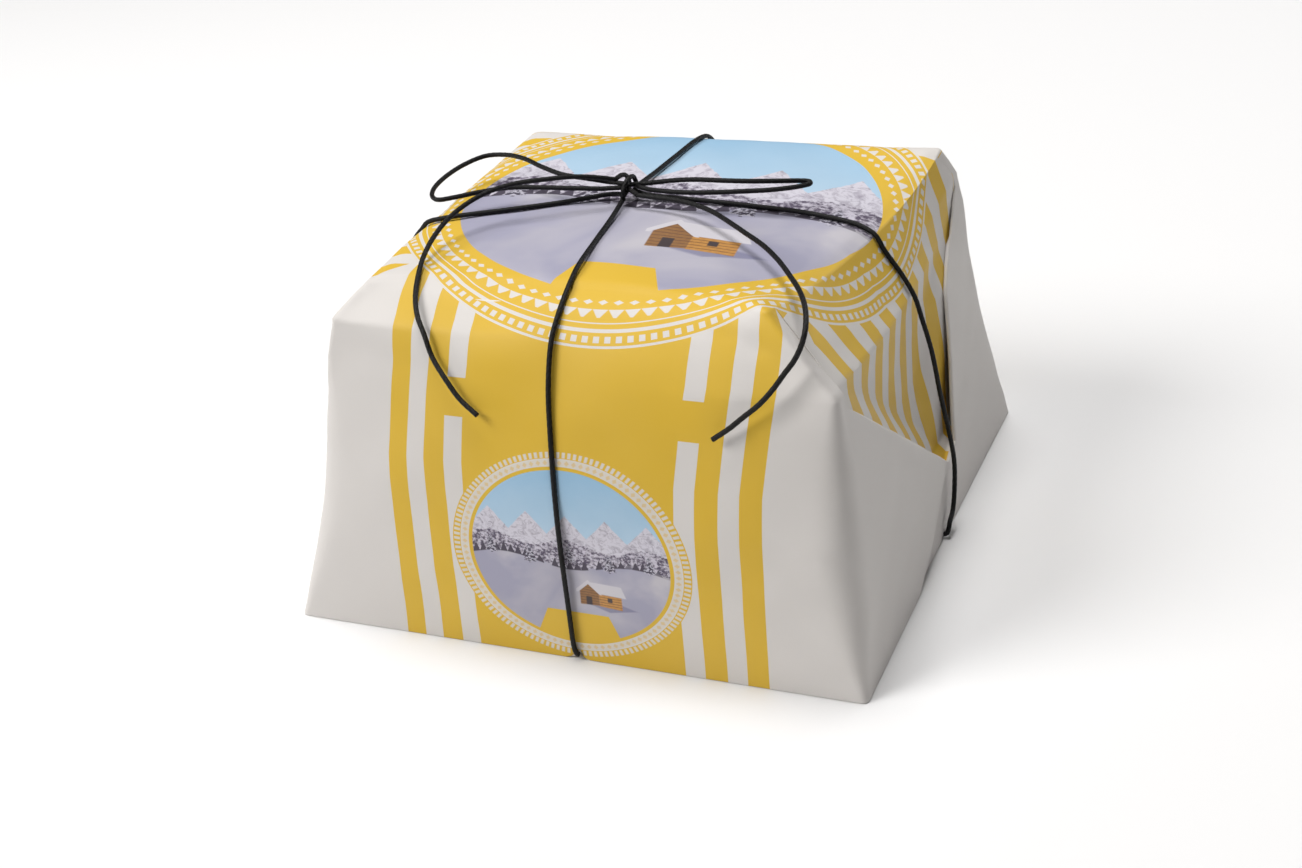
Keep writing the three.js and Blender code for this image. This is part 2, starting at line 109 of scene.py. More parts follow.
# ---- Shader helpers -----------------------------------------------------------------------------
class Value:
    """A number that changes over a surface, with the arithmetic that adds its Math nodes."""

    def __init__(self, shader, socket):
        self.shader = shader
        self.socket = socket

    def maths(self, operation, *others, clamp=False):
        settings = {"operation": operation, "use_clamp": clamp}
        values = dict(enumerate((self, *others)))
        return self.shader.value("ShaderNodeMath", settings, values)

    def __add__(self, other):
        return self.maths("ADD", other)

    def __radd__(self, other):
        return self.maths("ADD", other)

    def __sub__(self, other):
        return self.maths("SUBTRACT", other)

    def __rsub__(self, other):
        return self.shader.value("ShaderNodeMath", {"operation": "SUBTRACT"}, {0: other, 1: self})

    def __mul__(self, other):
        return self.maths("MULTIPLY", other)

    def __rmul__(self, other):
        return self.maths("MULTIPLY", other)

    def __truediv__(self, other):
        return self.maths("DIVIDE", other)

    def __abs__(self):
        return self.maths("ABSOLUTE")

    def high(self, other):
        return self.maths("MAXIMUM", other)

    def clamped(self):
        return self.maths("ADD", 0.0, clamp=True)


class Shader:
    """A material being built, with one method that adds a node of any type."""

    def __init__(self, name):
        self.material = bpy.data.materials.new(name)
        self.material.use_nodes = True
        self.tree = self.material.node_tree
        self.tree.nodes.clear()
        self.finish = self.node("ShaderNodeBsdfPrincipled")
        output = self.node("ShaderNodeOutputMaterial")
        self.tree.links.new(self.finish.outputs[0], output.inputs["Surface"])

    def node(self, kind, settings=None, values=None):
        node = self.tree.nodes.new(kind)
        for key, setting in (settings or {}).items():
            if key == "stops":
                ramp = node.color_ramp.elements
                ramp.remove(ramp[1])
                ramp[0].position = setting[0][0]
                ramp[0].color = (*setting[0][1], 1)
                for place, color in setting[1:]:
                    ramp.new(place).color = (*color, 1)
            else:
                setattr(node, key, setting)
        for key, value in (values or {}).items():
            self.put(node.inputs[key], value)
        return node

    def put(self, socket, value):
        if isinstance(value, Value):
            self.tree.links.new(value.socket, socket)
        elif isinstance(value, bpy.types.NodeSocket):
            self.tree.links.new(value, socket)
        elif isinstance(value, tuple) and len(value) == 3 and len(socket.default_value) == 4:
            socket.default_value = (*value, 1)
        else:
            socket.default_value = value

    def value(self, kind, settings=None, values=None):
        return Value(self, self.node(kind, settings, values).outputs[0])

    def mix(self, share, first, second):
        """A colour between two colours."""
        node = self.node("ShaderNodeMix", {"data_type": "RGBA"}, {0: share, 6: first, 7: second})
        return node.outputs[2]

    def object_place(self):
        return self.node("ShaderNodeTexCoord").outputs["Object"]

    def noise(self, place, scale, detail=3.0, roughness=0.5, distortion=0.0):
        values = {
            "Vector": place,
            "Scale": scale,
            "Detail": detail,
            "Roughness": roughness,
            "Distortion": distortion,
        }
        return self.value("ShaderNodeTexNoise", None, values)

    def bump(self, height, distance, strength=1.0, onto=None):
        values = {"Height": height, "Distance": distance, "Strength": strength}
        if onto is not None:
            values["Normal"] = onto
        return self.node("ShaderNodeBump", None, values).outputs[0]

    def set(self, **values):
        for name, value in values.items():
            self.put(self.finish.inputs[name.replace("_", " ")], value)


# ---- The cord -----------------------------------------------------------------------------------
TIE_FRONT_BACK = [
    [-12, 1.5, 142.3], [-9.5, -15, 141.5], [-6, -40.1, 141.1], [-2.1, -64.2, 141],
    [-0.5, -75.1, 139], [0.4, -83.1, 136.4], [0.7, -90.7, 132.1], [0.6, -97.5, 125.8],
    [1, -105.2, 111.4], [2.1, -110.7, 96.1], [3.9, -118.3, 61.8], [4.6, -120.4, 23], [5, -121.1, 6.8],
    [5.3, -120.9, 4.2], [5.5, -119.9, 2.3], [5.5, -118, 1.7], [5.2, -100, 1.7], [2.5, -40, 1.7],
    [0.5, 40, 1.7], [-2, 100, 1.7], [-2, 118, 1.7], [-2, 120, 2.3], [-2, 121, 4.2], [-2, 121.4, 7.5],
    [-3, 120.9, 30], [-6, 120.3, 62.5], [-8.5, 115.7, 96.7], [-10, 108.7, 125.5],
    [-10.6, 105.8, 131.6], [-11, 102.2, 135.9], [-11.4, 98, 138.5], [-11.8, 88, 140.4],
    [-12.4, 62, 141.1], [-13, 40, 141.4], [-13, 23, 142.3],
]
TIE_LEFT_RIGHT = [
    [-1, 10.5, 142.2], [17, 11.6, 140.8], [42.7, 13.4, 138.5], [61.5, 14.6, 136.5], [74.8, 14.6, 134.5],
    [83, 14, 133.1], [88.3, 13.2, 131.4], [92.2, 12.5, 129], [95.7, 12.2, 123], [101.9, 14, 112.3],
    [106.6, 14.9, 102.7], [109.4, 15.1, 92.8], [112.9, 15.2, 79.2], [116.2, 15.3, 59],
    [119.3, 15.5, 42.4], [121.2, 15.6, 29], [121.9, 13, 19], [122.2, 8, 9.5], [122.3, 2, 6.8],
    [122.2, 0.3, 4.4], [121.4, 0, 2.4], [119.5, 0, 1.7], [100, -0.3, 1.9], [40, -1, 3.4], [8, -1.5, 4],
    [-8, -1.7, 4], [-40, -2, 3.4], [-100, -3, 1.9], [-119.5, -3, 1.7], [-121.4, -3, 2.4],
    [-122, -3, 4.4], [-122, -3, 7.5], [-120, -6, 30], [-114.5, -9.5, 62], [-109, -13.5, 92],
    [-104.6, -17.5, 113], [-103.4, -20, 121.6], [-99.6, -20.8, 130], [-94.5, -22, 135.3],
    [-90.9, -22.6, 138.6], [-84, -21.5, 140.3], [-60, -11, 141.1], [-36, 1.5, 141.5], [-23, 9, 142.2],
]
LOOP_LEFT = [
    [-22, 12, 146.8], [-30, 9.5, 148.8], [-41, 9, 150.3], [-54, 15, 151.2], [-67, 24, 151.3],
    [-78, 28.5, 151], [-87, 27.5, 150.6], [-92.5, 18, 150], [-95, 3, 149], [-94, -9, 148],
    [-91, -15.5, 147.2], [-87, -18, 147], [-81, -15, 147.2], [-73, -8.5, 147.4], [-62, -2, 147.6],
    [-48, 0.5, 147.4], [-36, 2.5, 146.9], [-23, 6, 145.9],
]
LOOP_RIGHT = [
    [-2, 13, 147], [9, 11.5, 149], [20, 9, 150.6], [31, 8, 151], [42, 10.5, 150.3], [52, 15.5, 149],
    [59.5, 20, 147.8], [63, 20.8, 147.4], [64, 19, 147.2], [60, 15.5, 147], [50, 11, 146.8],
    [40, 8.2, 146.8], [30, 5.5, 146.9], [19, 3.5, 147], [9, 4, 146.8], [-1.5, 6.8, 146.2],
]
TAIL_LEFT = [
    [-15, 4, 151], [-20, 0, 153], [-29, -5.5, 155], [-40, -12, 155.6], [-50, -16.5, 155.2],
    [-58.5, -22, 153.8], [-64.5, -30, 151.8], [-68.5, -41, 149], [-69, -54, 146], [-67.5, -66, 142.9],
    [-64.2, -77.5, 139.8], [-60.4, -88.4, 135], [-56.4, -95.4, 130.3], [-51.8, -100, 124.7],
    [-48, -103.2, 117.6], [-41.2, -107.2, 110.6], [-35, -109.6, 104.2], [-27.3, -111.6, 99],
]
TAIL_RIGHT = [
    [-4.5, 1.5, 145.6], [3, 0, 145.6], [13, -1.5, 145.4], [23, -4.5, 145], [32, -9.5, 144.5],
    [42, -17.5, 143.8], [52, -26.5, 143.2], [63, -37, 142.8], [73, -49, 142.4], [82, -62, 142],
    [89, -73, 141.6], [94, -82.5, 140.8], [97, -90, 138.8], [98, -95, 135.6], [97, -97, 131.2],
    [94.8, -99, 126.4], [91.6, -101.4, 122], [88.2, -103.6, 117.2], [83.6, -106.2, 112],
    [77.6, -108, 107], [72.8, -109.6, 103], [66.6, -110.8, 98.6],
]
CORD_STEP = 0.6  # spacing of the cord's rings
CORD_AROUND = 18
CORD_STRANDS = 3
STRAND_PITCH = 8.0  # length in which a strand goes once round the cord


def smooth_route(points, step=CORD_STEP):
    """Evenly spaced points on one smooth curve through the given ones."""
    given = [np.array(point, float) for point in points]
    ends = [2 * given[0] - given[1], *given, 2 * given[-1] - given[-2]]
    fine = []
    for i in range(1, len(ends) - 2):
        before, start, end, after = ends[i - 1 : i + 3]
        knots = [0.0]
        for a, b in ((before, start), (start, end), (end, after)):
            knots.append(knots[-1] + max(1e-6, np.linalg.norm(b - a)) ** 0.5)
        t0, t1, t2, t3 = knots
        for t in np.linspace(t1, t2, 24, endpoint=False):
            a1 = (t1 - t) / (t1 - t0) * before + (t - t0) / (t1 - t0) * start
            a2 = (t2 - t) / (t2 - t1) * start + (t - t1) / (t2 - t1) * end
            a3 = (t3 - t) / (t3 - t2) * end + (t - t2) / (t3 - t2) * after
            b1 = (t2 - t) / (t2 - t0) * a1 + (t - t0) / (t2 - t0) * a2
            b2 = (t3 - t) / (t3 - t1) * a2 + (t - t1) / (t3 - t1) * a3
            fine.append((t2 - t) / (t2 - t1) * b1 + (t - t1) / (t2 - t1) * b2)
    fine.append(given[-1])
    fine = np.array(fine)
    along = np.concatenate([[0], np.cumsum(np.linalg.norm(np.diff(fine, axis=0), axis=1))])
    count = max(2, round(along[-1] / step))
    places = np.linspace(0, along[-1], count + 1)
    route = np.stack([np.interp(places, along, fine[:, axis]) for axis in range(3)], axis=1)
    return route, places


def carried_frames(route):
    """A side and an up direction at each point, carried along the route without twisting."""
    tangents = np.gradient(route, axis=0)
    tangents /= np.linalg.norm(tangents, axis=1)[:, None]
    first = np.cross(tangents[0], (0.0, 0.0, 1.0))
    side = first / np.linalg.norm(first)
    sides = []
    for tangent in tangents:
        side = side - tangent * np.dot(side, tangent)
        side = side / np.linalg.norm(side)
        sides.append(side)
    sides = np.array(sides)
    return sides, np.cross(tangents, sides)


def cord_piece(name, points, material):
    """A twisted cord along the route: its strands show as low ridges that wind round it."""
    route, places = smooth_route(points)
    sides, ups = carried_frames(route)
    turn = np.linspace(0, 2 * math.pi, CORD_AROUND, endpoint=False)
    ridge = np.abs(np.cos(CORD_STRANDS / 2 * (turn[None, :] - 2 * math.pi * places[:, None] / STRAND_PITCH)))
    reach = CORD / 2 * (0.97 + 0.05 * ridge)
    rings = (
        route[:, None, :]
        + reach[:, :, None] * np.cos(turn)[None, :, None] * sides[:, None, :]
        + reach[:, :, None] * np.sin(turn)[None, :, None] * ups[:, None, :]
    )
    rows = len(route)
    vertices = list(rings.reshape(-1, 3))
    faces = grid_faces(rows, CORD_AROUND)
    start = len(vertices)
    vertices += [route[0], route[-1]]
    last = (rows - 1) * CORD_AROUND
    for i in range(CORD_AROUND):
        j = (i + 1) % CORD_AROUND
        faces.append((start, j, i))
        faces.append((start + 1, last + i, last + j))
    piece = mesh_object(name, vertices, faces, material)
    turned = piece.data.uv_layers.new(name="along_cord")
    for polygon in piece.data.polygons:
        for loop in polygon.loop_indices:
            vertex = piece.data.loops[loop].vertex_index
            if vertex >= start:
                spot = (0.0, places[0 if vertex == start else -1] * MM)
            else:
                spot = ((vertex % CORD_AROUND) / CORD_AROUND, places[vertex // CORD_AROUND] * MM)
            turned.data[loop].uv = spot
    for polygon in piece.data.polygons:
        around = [turned.data[loop].uv[0] for loop in polygon.loop_indices]
        if max(around) - min(around) > 0.5:
            for loop in polygon.loop_indices:
                if turned.data[loop].uv[0] < 0.5:
                    turned.data[loop].uv[0] += 1
    return piece, route, places[-1]


def waxed_cord_material():
    shader = Shader("black_waxed_cord")
    uv = shader.node("ShaderNodeUVMap", {"uv_map": "along_cord"}).outputs[0]
    parts = shader.node("ShaderNodeSeparateXYZ", None, {0: uv}).outputs
    around = Value(shader, parts[0])
    along = Value(shader, parts[1]) / MM
    lay = (around * CORD_STRANDS - along * (CORD_STRANDS / STRAND_PITCH)) * (2 * math.pi)
    strands = abs((lay * 0.5).maths("COSINE"))
    yarn = (around * 11.0 + along * 1.3) * (2 * math.pi)
    counter = (around * 11.0 - along * 1.3) * (2 * math.pi)
    braid = yarn.maths("SINE") * counter.maths("SINE") * 0.5 + 0.5
    place = shader.object_place()
    fuzz = shader.noise(place, 2600.0, 3.0, 0.6)
    wax = shader.noise(place, 240.0, 3.0, 0.6)
    height = strands * 0.35 + braid * 0.3 + fuzz * 0.5
    edge = shader.bump(height, 0.00022, 0.9)
    dusty = ((fuzz - 0.5) * 2.0 + (wax - 0.5) * 1.0).clamped()
    color = shader.mix(dusty, (0.003, 0.0028, 0.003), (0.017, 0.0155, 0.0155))
    shader.set(Base_Color=color, Roughness=(wax * 0.45 + 0.22 + braid * 0.06), Normal=edge)
    shader.finish.inputs["Specular IOR Level"].default_value = 0.26
    shader.finish.inputs["Sheen Weight"].default_value = 0.02
    shader.finish.inputs["Sheen Roughness"].default_value = 0.4
    return shader.material


CORD_BLACK = waxed_cord_material()


def tied_cord(name, points):
    """One stretch of the cord, from where it leaves the knot."""
    piece, route, length = cord_piece(name + "_waxed", points, CORD_BLACK)
    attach(piece, "root")
    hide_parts(name)
    return piece


tied_cord("cord_round_front_back", TIE_FRONT_BACK)
tied_cord("cord_round_left_right", TIE_LEFT_RIGHT)
tied_cord("bow_loop_left", LOOP_LEFT)
tied_cord("bow_loop_right", LOOP_RIGHT)
tied_cord("bow_tail_left", TAIL_LEFT)
tied_cord("bow_tail_right", TAIL_RIGHT)


# ---- The wrapping paper: its outline --------------------------------------------------------------
CORNERS = {
    "front_left": [(-122, -120, 0), (-96.5, -95, 125.5), (-85.5, -84, 137)],
    "front_right": [(122, -120, 0), (117.5, -114, 60), (109.5, -98, 111), (80.5, -85, 137)],
    "back_right": [(122, 120, 0), (103, 104, 124), (98.5, 95, 137)],
    "back_left": [(-122, 120, 0), (-109.5, 103, 115), (-100, 100, 137)],
}
FRONT = [(0, 120), (62, 117), (96, 109.5), (111, 104), (125, 96.5), (131, 90), (135, 83), (137, 76)]
BACK = [(0, 120), (62, 119), (96, 114.5), (125, 107.5), (131, 104.5), (135, 101), (137, 98)]
FLAPS = {
    "right": {
        "outward": 1,
        "front": [(0, -46), (22, -1), (29, 12.8), (111, -98)],
        "back": [(0, -45), (22, 1), (29, 33), (40, 37), (87, 56), (124, 104)],
        "bow": 1.0,
        "ears": (111, 124),
    },
    "left": {
        "outward": -1,
        "front": [(0, -40), (22, 0), (29, 12), (125.5, -95)],
        "back": [(0, -39), (22, 1), (29, 30), (45, 38), (115, 103)],
        "bow": 1.5,
        "ears": (125.5, 115),
    },
}
TUCK = [
    (0, 2.2), (22, 2.2), (29, 10), (45, 11.5), (62, 11.5),
    (80, 9), (96, 6), (111, 3), (125, 0.3), (137, 0),
]
FOLD_DEPTH = [(0, 2.2), (22, 2.2), (29, 8), (62, 5), (100, 2), (111, 0.2), (125, 0.05), (137, 0)]
BACK_STEP = [(0, 2.2), (22, 2.2), (29, 1.2), (96, 1.2), (124, 0)]
FLAP_START = 4.0
HEM = 20.0  # width of the layer that is turned in behind a flap's folded edge
FOLD_RADIUS = 0.9
POCKET_BULGE = 0.6  # how far a pocket rounds out, against the radius of its fold
EAR_RISE = 15.0  # height below an ear in which the fold opens to its full width
TOP_CROWN = [(0, 140), (0.36, 139.9), (0.72, 139.6), (0.93, 138.9), (1, 137)]
TOP_MIDDLE = np.array([0.0, 4.0])
# The drop of the right side of the top at mid depth, as (height, drop).
SAG = [(0, 0), (96, 0), (111, 8), (118, 10), (125, 10.5), (131, 9.5), (135, 8.8), (137, 8.5)]
SAG_MIDDLE = 14.0


def sag_at(xy, level):
    """How far points of the right side have sunk, fading towards the corners and over the top."""
    reach = np.where(xy[:, 1] < SAG_MIDDLE, 96.0, 80.0)
    along = np.maximum(0, 1 - np.abs((xy[:, 1] - SAG_MIDDLE) / reach) ** 2.5)
    across = np.clip(xy[:, 0] / 91.0, 0, 1) ** 1.5
    return lookup(SAG, level) * along * across


def lookup(table, value):
    return float(np.interp(value, [entry[0] for entry in table], [entry[1] for entry in table]))


def smooth_lookup(table, value):
    """The value of a table on one smooth curve that never overshoots its entries."""
    x = np.array([entry[0] for entry in table], float)
    y = np.array([entry[1] for entry in table], float)
    slopes = np.diff(y) / np.diff(x)
    bends = np.zeros(len(x))
    for i in range(1, len(x) - 1):
        if slopes[i - 1] * slopes[i] > 0:
            bends[i] = 2 / (1 / slopes[i - 1] + 1 / slopes[i])
    bends[0] = slopes[0]
    bends[-1] = slopes[-1]
    i = int(np.clip(np.searchsorted(x, value) - 1, 0, len(x) - 2))
    step = x[i + 1] - x[i]
    t = (value - x[i]) / step
    return float(
        y[i] * (1 + 2 * t) * (1 - t) ** 2
        + bends[i] * step * t * (1 - t) ** 2
        + y[i + 1] * t * t * (3 - 2 * t)
        + bends[i + 1] * step * t * t * (t - 1)
    )


def smoothstep(low, high, value):
    share = min(1.0, max(0.0, (value - low) / (high - low)))
    return share * share * (3 - 2 * share)


def corner_at(name, z):
    path = CORNERS[name]
    return np.array([lookup([(p[2], p[0]) for p in path], z), lookup([(p[2], p[1]) for p in path], z)])


def corner_radius(z):
    return 3 + 11 * math.sin(math.pi * z / 111) if z < 111 else 3


def spread(low, high, count, dense=(), dense_count=0):
    """Shares from 0 to 1, closer together in the dense stretch."""
    if not dense_count:
        return np.linspace(0, 1, count)
    start, end = ((value - low) / (high - low) for value in dense)
    before = round((count - dense_count) * start / (start + 1 - end))
    after = count - dense_count - before
    return np.concatenate(
        [
            np.linspace(0, start, before, endpoint=False),
            np.linspace(start, end, dense_count, endpoint=False),
            np.linspace(end, 1, after),
        ]
    )


FRONT_SHARES = spread(-110, 110, 80, (-5, 10), 20)
BACK_SHARES = spread(110, -110, 64, (-1, -16), 18)
ARC_COLUMNS = 8
FLAP_COLUMNS = 34
TURN_COLUMNS = 6
HEM_COLUMNS = 7
POCKET_COLUMNS = 3
PANEL_SHARES = {
    "right": spread(-98, 98, 52, (-10, 26), 24),
    "left": spread(-98, 98, 52, (-30, 4), 24),
}
BACK_FLAP_COLUMNS = 30


def face_columns(outward, left, right, reach, radius, shares):
    middle = (left[0] + right[0]) / 2
    half = (right[0] - left[0]) / 2
    bow = reach - outward * (left[1] + right[1]) / 2
    x = left[0] + radius + (right[0] - left[0] - 2 * radius) * shares
    slope = (x - left[0]) / (right[0] - left[0])
    lift = bow * (1 - np.abs((x - middle) / half) ** 2.5)
    return np.stack([x, left[1] + (right[1] - left[1]) * slope + outward * lift], axis=1)


def arc_columns(start, corner, end):
    t = (np.arange(ARC_COLUMNS) + 1)[:, None] / (ARC_COLUMNS + 1)
    return (1 - t) ** 2 * start + 2 * t * (1 - t) * corner + t * t * end


def end_columns(side, front, back, radius, z, inner):
    """One end of the parcel from front to back: the front flap, its turned-in layer, the tucked-in
    side panel, and the same again for the back flap."""
    flaps = FLAPS[side]
    outward = flaps["outward"]
    ear_front, ear_back = flaps["ears"]
    start = front[1] + radius
    end = back[1] - radius
    front_edge = max(lookup(flaps["front"], z), start + FLAP_START)
    back_edge = min(lookup(flaps["back"], z), end - FLAP_START)
    front_open = min(1.0, max(0.0, (ear_front - z) / EAR_RISE))
    back_open = min(1.0, max(0.0, (ear_back - z) / EAR_RISE)) * smoothstep(22, 29, z)
    front_open = front_open if front_open > 0.04 else 0.0
    back_open = back_open if back_open > 0.04 else 0.0
    middle = (front[1] + back[1]) / 2
    half = (back[1] - front[1]) / 2
    front_hem = min(HEM, (front_edge - start) * 0.5) * front_open
    back_hem = min(HEM, (end - back_edge) * 0.5) * back_open
    front_turn = FOLD_RADIUS * front_open
    back_turn = FOLD_RADIUS * back_open
    step = lookup(BACK_STEP, z)
    depth = max(lookup(FOLD_DEPTH, z), 2 * front_turn + 0.1, step + 2 * back_turn)
    if not front_open and not back_open and z > 100:
        depth = lookup(FOLD_DEPTH, z)
    tuck = max(depth, lookup(TUCK, z))
    gape = 0.5 * smoothstep(12, 40, z) * (1 - smoothstep(45, 80, z)) * front_open

    def place(y, sunk):
        share = (y - front[1]) / (back[1] - front[1])
        bow = flaps["bow"] * min(1, z / 30) * (1 - ((y - middle) / half) ** 2)
        return front[0] + (back[0] - front[0]) * share + outward * (bow - sunk)

    rows = []
    stop = front_edge - front_hem if inner else front_edge
    wall = depth + 1.2
    for i in range(FLAP_COLUMNS):
        share = i / (FLAP_COLUMNS - 1)
        y = start + (stop - start) * share
        rows.append((y, wall * smoothstep(0, 0.3, share) if inner else -gape * smoothstep(0.6, 1, share)))
    for i in range(TURN_COLUMNS):
        turn = math.pi * (i + 1) / (TURN_COLUMNS + 1)
        if inner:
            rows.append((stop, wall))
        else:
            reach = front_edge + front_turn * math.sin(turn)
            rows.append((reach, front_turn * (1 - math.cos(turn)) - gape))
    for i in range(HEM_COLUMNS):
        share = (i + 1) / HEM_COLUMNS
        back_in = front_edge - front_hem * share
        rows.append((stop, wall) if inner else (back_in, 2 * front_turn - gape * (1 - share)))
    pocket_front = front_edge - front_hem
    for i in range(POCKET_COLUMNS):
        share = (i + 1) / (POCKET_COLUMNS + 1)
        sunk = 2 * front_turn + (depth - 2 * front_turn) * share
        bulge = POCKET_BULGE * front_turn * math.sin(math.pi * share)
        rows.append((stop, wall) if inner else (pocket_front - bulge, sunk))
    pocket_back = back_edge + back_hem
    for share in PANEL_SHARES[side]:
        y = pocket_front + (pocket_back - pocket_front) * share
        inside = smoothstep(0, 25, min(y - front_edge, back_edge - y))
        rows.append((y, depth + (tuck - depth) * inside + (1.2 if inner else 0)))
    stop = pocket_back if inner else back_edge
    for i in range(POCKET_COLUMNS):
        share = 1 - (i + 1) / (POCKET_COLUMNS + 1)
        sunk = step + 2 * back_turn + (depth - step - 2 * back_turn) * share
        bulge = POCKET_BULGE * back_turn * math.sin(math.pi * share)
        rows.append((stop, wall) if inner else (pocket_back + bulge, sunk))
    for i in range(HEM_COLUMNS):
        share = 1 - i / HEM_COLUMNS
        rows.append((stop, wall) if inner else (back_edge + back_hem * share, step + 2 * back_turn))
    for i in range(TURN_COLUMNS):
        turn = math.pi * (TURN_COLUMNS - i) / (TURN_COLUMNS + 1)
        reach = back_edge - back_turn * math.sin(turn)
        sunk = step + back_turn * (1 - math.cos(turn))
        rows.append((stop, wall) if inner else (reach, sunk))
    for i in range(BACK_FLAP_COLUMNS):
        share = i / (BACK_FLAP_COLUMNS - 1)
        y = stop + (end - stop) * share
        rows.append((y, wall * smoothstep(0, 0.3, 1 - share) if inner else step * (1 - share)))
    return np.array([(place(y, sunk), y) for y, sunk in rows])


COLUMN_KINDS = (
    ["front"] * (len(FRONT_SHARES) + ARC_COLUMNS + FLAP_COLUMNS + TURN_COLUMNS + HEM_COLUMNS - 1)
    + ["right"] * (POCKET_COLUMNS + len(PANEL_SHARES["right"]) + POCKET_COLUMNS + 1)
    + ["back"] * (HEM_COLUMNS + TURN_COLUMNS + BACK_FLAP_COLUMNS + ARC_COLUMNS + len(BACK_SHARES))
    + ["back"] * (ARC_COLUMNS + BACK_FLAP_COLUMNS + TURN_COLUMNS + HEM_COLUMNS - 1)
    + ["left"] * (POCKET_COLUMNS + len(PANEL_SHARES["left"]) + POCKET_COLUMNS + 1)
    + ["front"] * (HEM_COLUMNS + TURN_COLUMNS + FLAP_COLUMNS + ARC_COLUMNS)
)


END_COLUMNS = FLAP_COLUMNS + 2 * (TURN_COLUMNS + HEM_COLUMNS + POCKET_COLUMNS) + BACK_FLAP_COLUMNS
RIGHT_FIRST = len(FRONT_SHARES) + ARC_COLUMNS
RIGHT_COLUMNS = range(RIGHT_FIRST, RIGHT_FIRST + END_COLUMNS + len(PANEL_SHARES["right"]))
LEFT_FIRST = RIGHT_COLUMNS[-1] + 1 + ARC_COLUMNS + len(BACK_SHARES) + ARC_COLUMNS
LEFT_COLUMNS = range(LEFT_FIRST, LEFT_FIRST + END_COLUMNS + len(PANEL_SHARES["left"]))


def outline_at(z, inner=False):
    """The outline of the parcel at one height, counter-clockwise from the front left corner."""
    radius = corner_radius(z)
    front_left, front_right = corner_at("front_left", z), corner_at("front_right", z)
    back_right, back_left = corner_at("back_right", z), corner_at("back_left", z)
    front = face_columns(-1, front_left, front_right, smooth_lookup(FRONT, z), radius, FRONT_SHARES)
    back = face_columns(1, back_left, back_right, smooth_lookup(BACK, z), radius, 1 - np.array(BACK_SHARES))
    right = end_columns("right", front_right, back_right, radius, z, inner)
    left = end_columns("left", front_left, back_left, radius, z, inner)[::-1]
    return np.concatenate(
        [
            front,
            arc_columns(front[-1], front_right, right[0]),
            right,
            arc_columns(right[-1], back_right, back[0]),
            back,
            arc_columns(back[-1], back_left, left[0]),
            left,
            arc_columns(left[-1], front_left, front[0]),
        ]
    )


WALL_HEIGHTS = np.concatenate(
    [
        [0.35, 0.8, 1.5, 2.5, 3.8, 5.2, 7, 9, 11.5, 14, 16.5, 19, 21, 22, 23, 24, 25, 26, 27, 28, 29, 30.5],
        np.arange(32.5, 111, 2.5),
        [111, 113, 115, 117, 119, 121, 122.5, 124, 125.5],
        [126.7, 128, 129.2, 130.3, 131.3, 132.2, 133, 133.8, 134.5, 135.2, 135.8, 136.4, 137],
    ]
)
TOP_SHARES = np.concatenate([[0.99, 0.98, 0.965, 0.95, 0.93, 0.91, 0.885], np.linspace(0.86, 0.03, 26)])


def paper_rings():
    """Rings of the paper from the middle of its inner roof, down inside, out under the base and up
    outside to the middle of the top, with what each ring belongs to."""
    rings = []
    kinds = []
    levels = []

    def add(xy, z, kind, level=None):
        level = z if level is None else level
        rings.append(np.column_stack([xy, z - sag_at(xy, level)]))
        kinds.append(kind)
        levels.append(level)

    shoulder_in = outline_at(137, inner=True)
    for share, z in ((0.08, 138.4), (0.36, 138.3), (0.72, 137.9), (0.9, 136.9)):
        add(TOP_MIDDLE + (shoulder_in - TOP_MIDDLE) * share * 0.98, z, "inside", 137)
    for z in (134, 129, 120, 108, 90, 70, 50, 29, 22, 14):
        add(outline_at(z, inner=True) * ((HALF_X - 1.3) / HALF_X), z, "inside")
    base = outline_at(0)
    floor = base * ((HALF_X - 2.2) / HALF_X)
    add(floor * 0.985, 9.5, "inside")
    for share in (0.85, 0.5, 0.2):
        add(floor * share, HOLLOW + 1.0, "inside")
    square = np.clip(base, -6, 6)
    add(square, HOLLOW + 1.0, "inside")
    add(square, HOLLOW, "under")
    for share in (0.12, 0.22, 0.34, 0.46, 0.58, 0.7, 0.8, 0.87):
        add(base * share, RECESS + (HOLLOW - RECESS) * (1 - share / 0.9), "under")
    scale = np.array([HALF_X, HALF_Y])
    for inset, z in ((12.2, 4.25), (11.3, 4.0), (10.7, 2.6), (10.4, 1.2), (9.8, 0.25), (8.8, 0.0)):
        add(base * (scale - inset) / scale, z, "under")
    for inset, z in ((6.5, 0.0), (4, 0.0), (2.2, 0.0), (1.2, 0.0), (0.5, 0.08)):
        add(base * (scale - inset) / scale, z, "under")
    for z in WALL_HEIGHTS:
        add(outline_at(z), z, "wall")
    shoulder = outline_at(137)
    for share in TOP_SHARES:
        height = smooth_lookup(TOP_CROWN, share)
        add(TOP_MIDDLE + (shoulder - TOP_MIDDLE) * share, height, "top", 137)
    return np.array(rings), kinds, levels


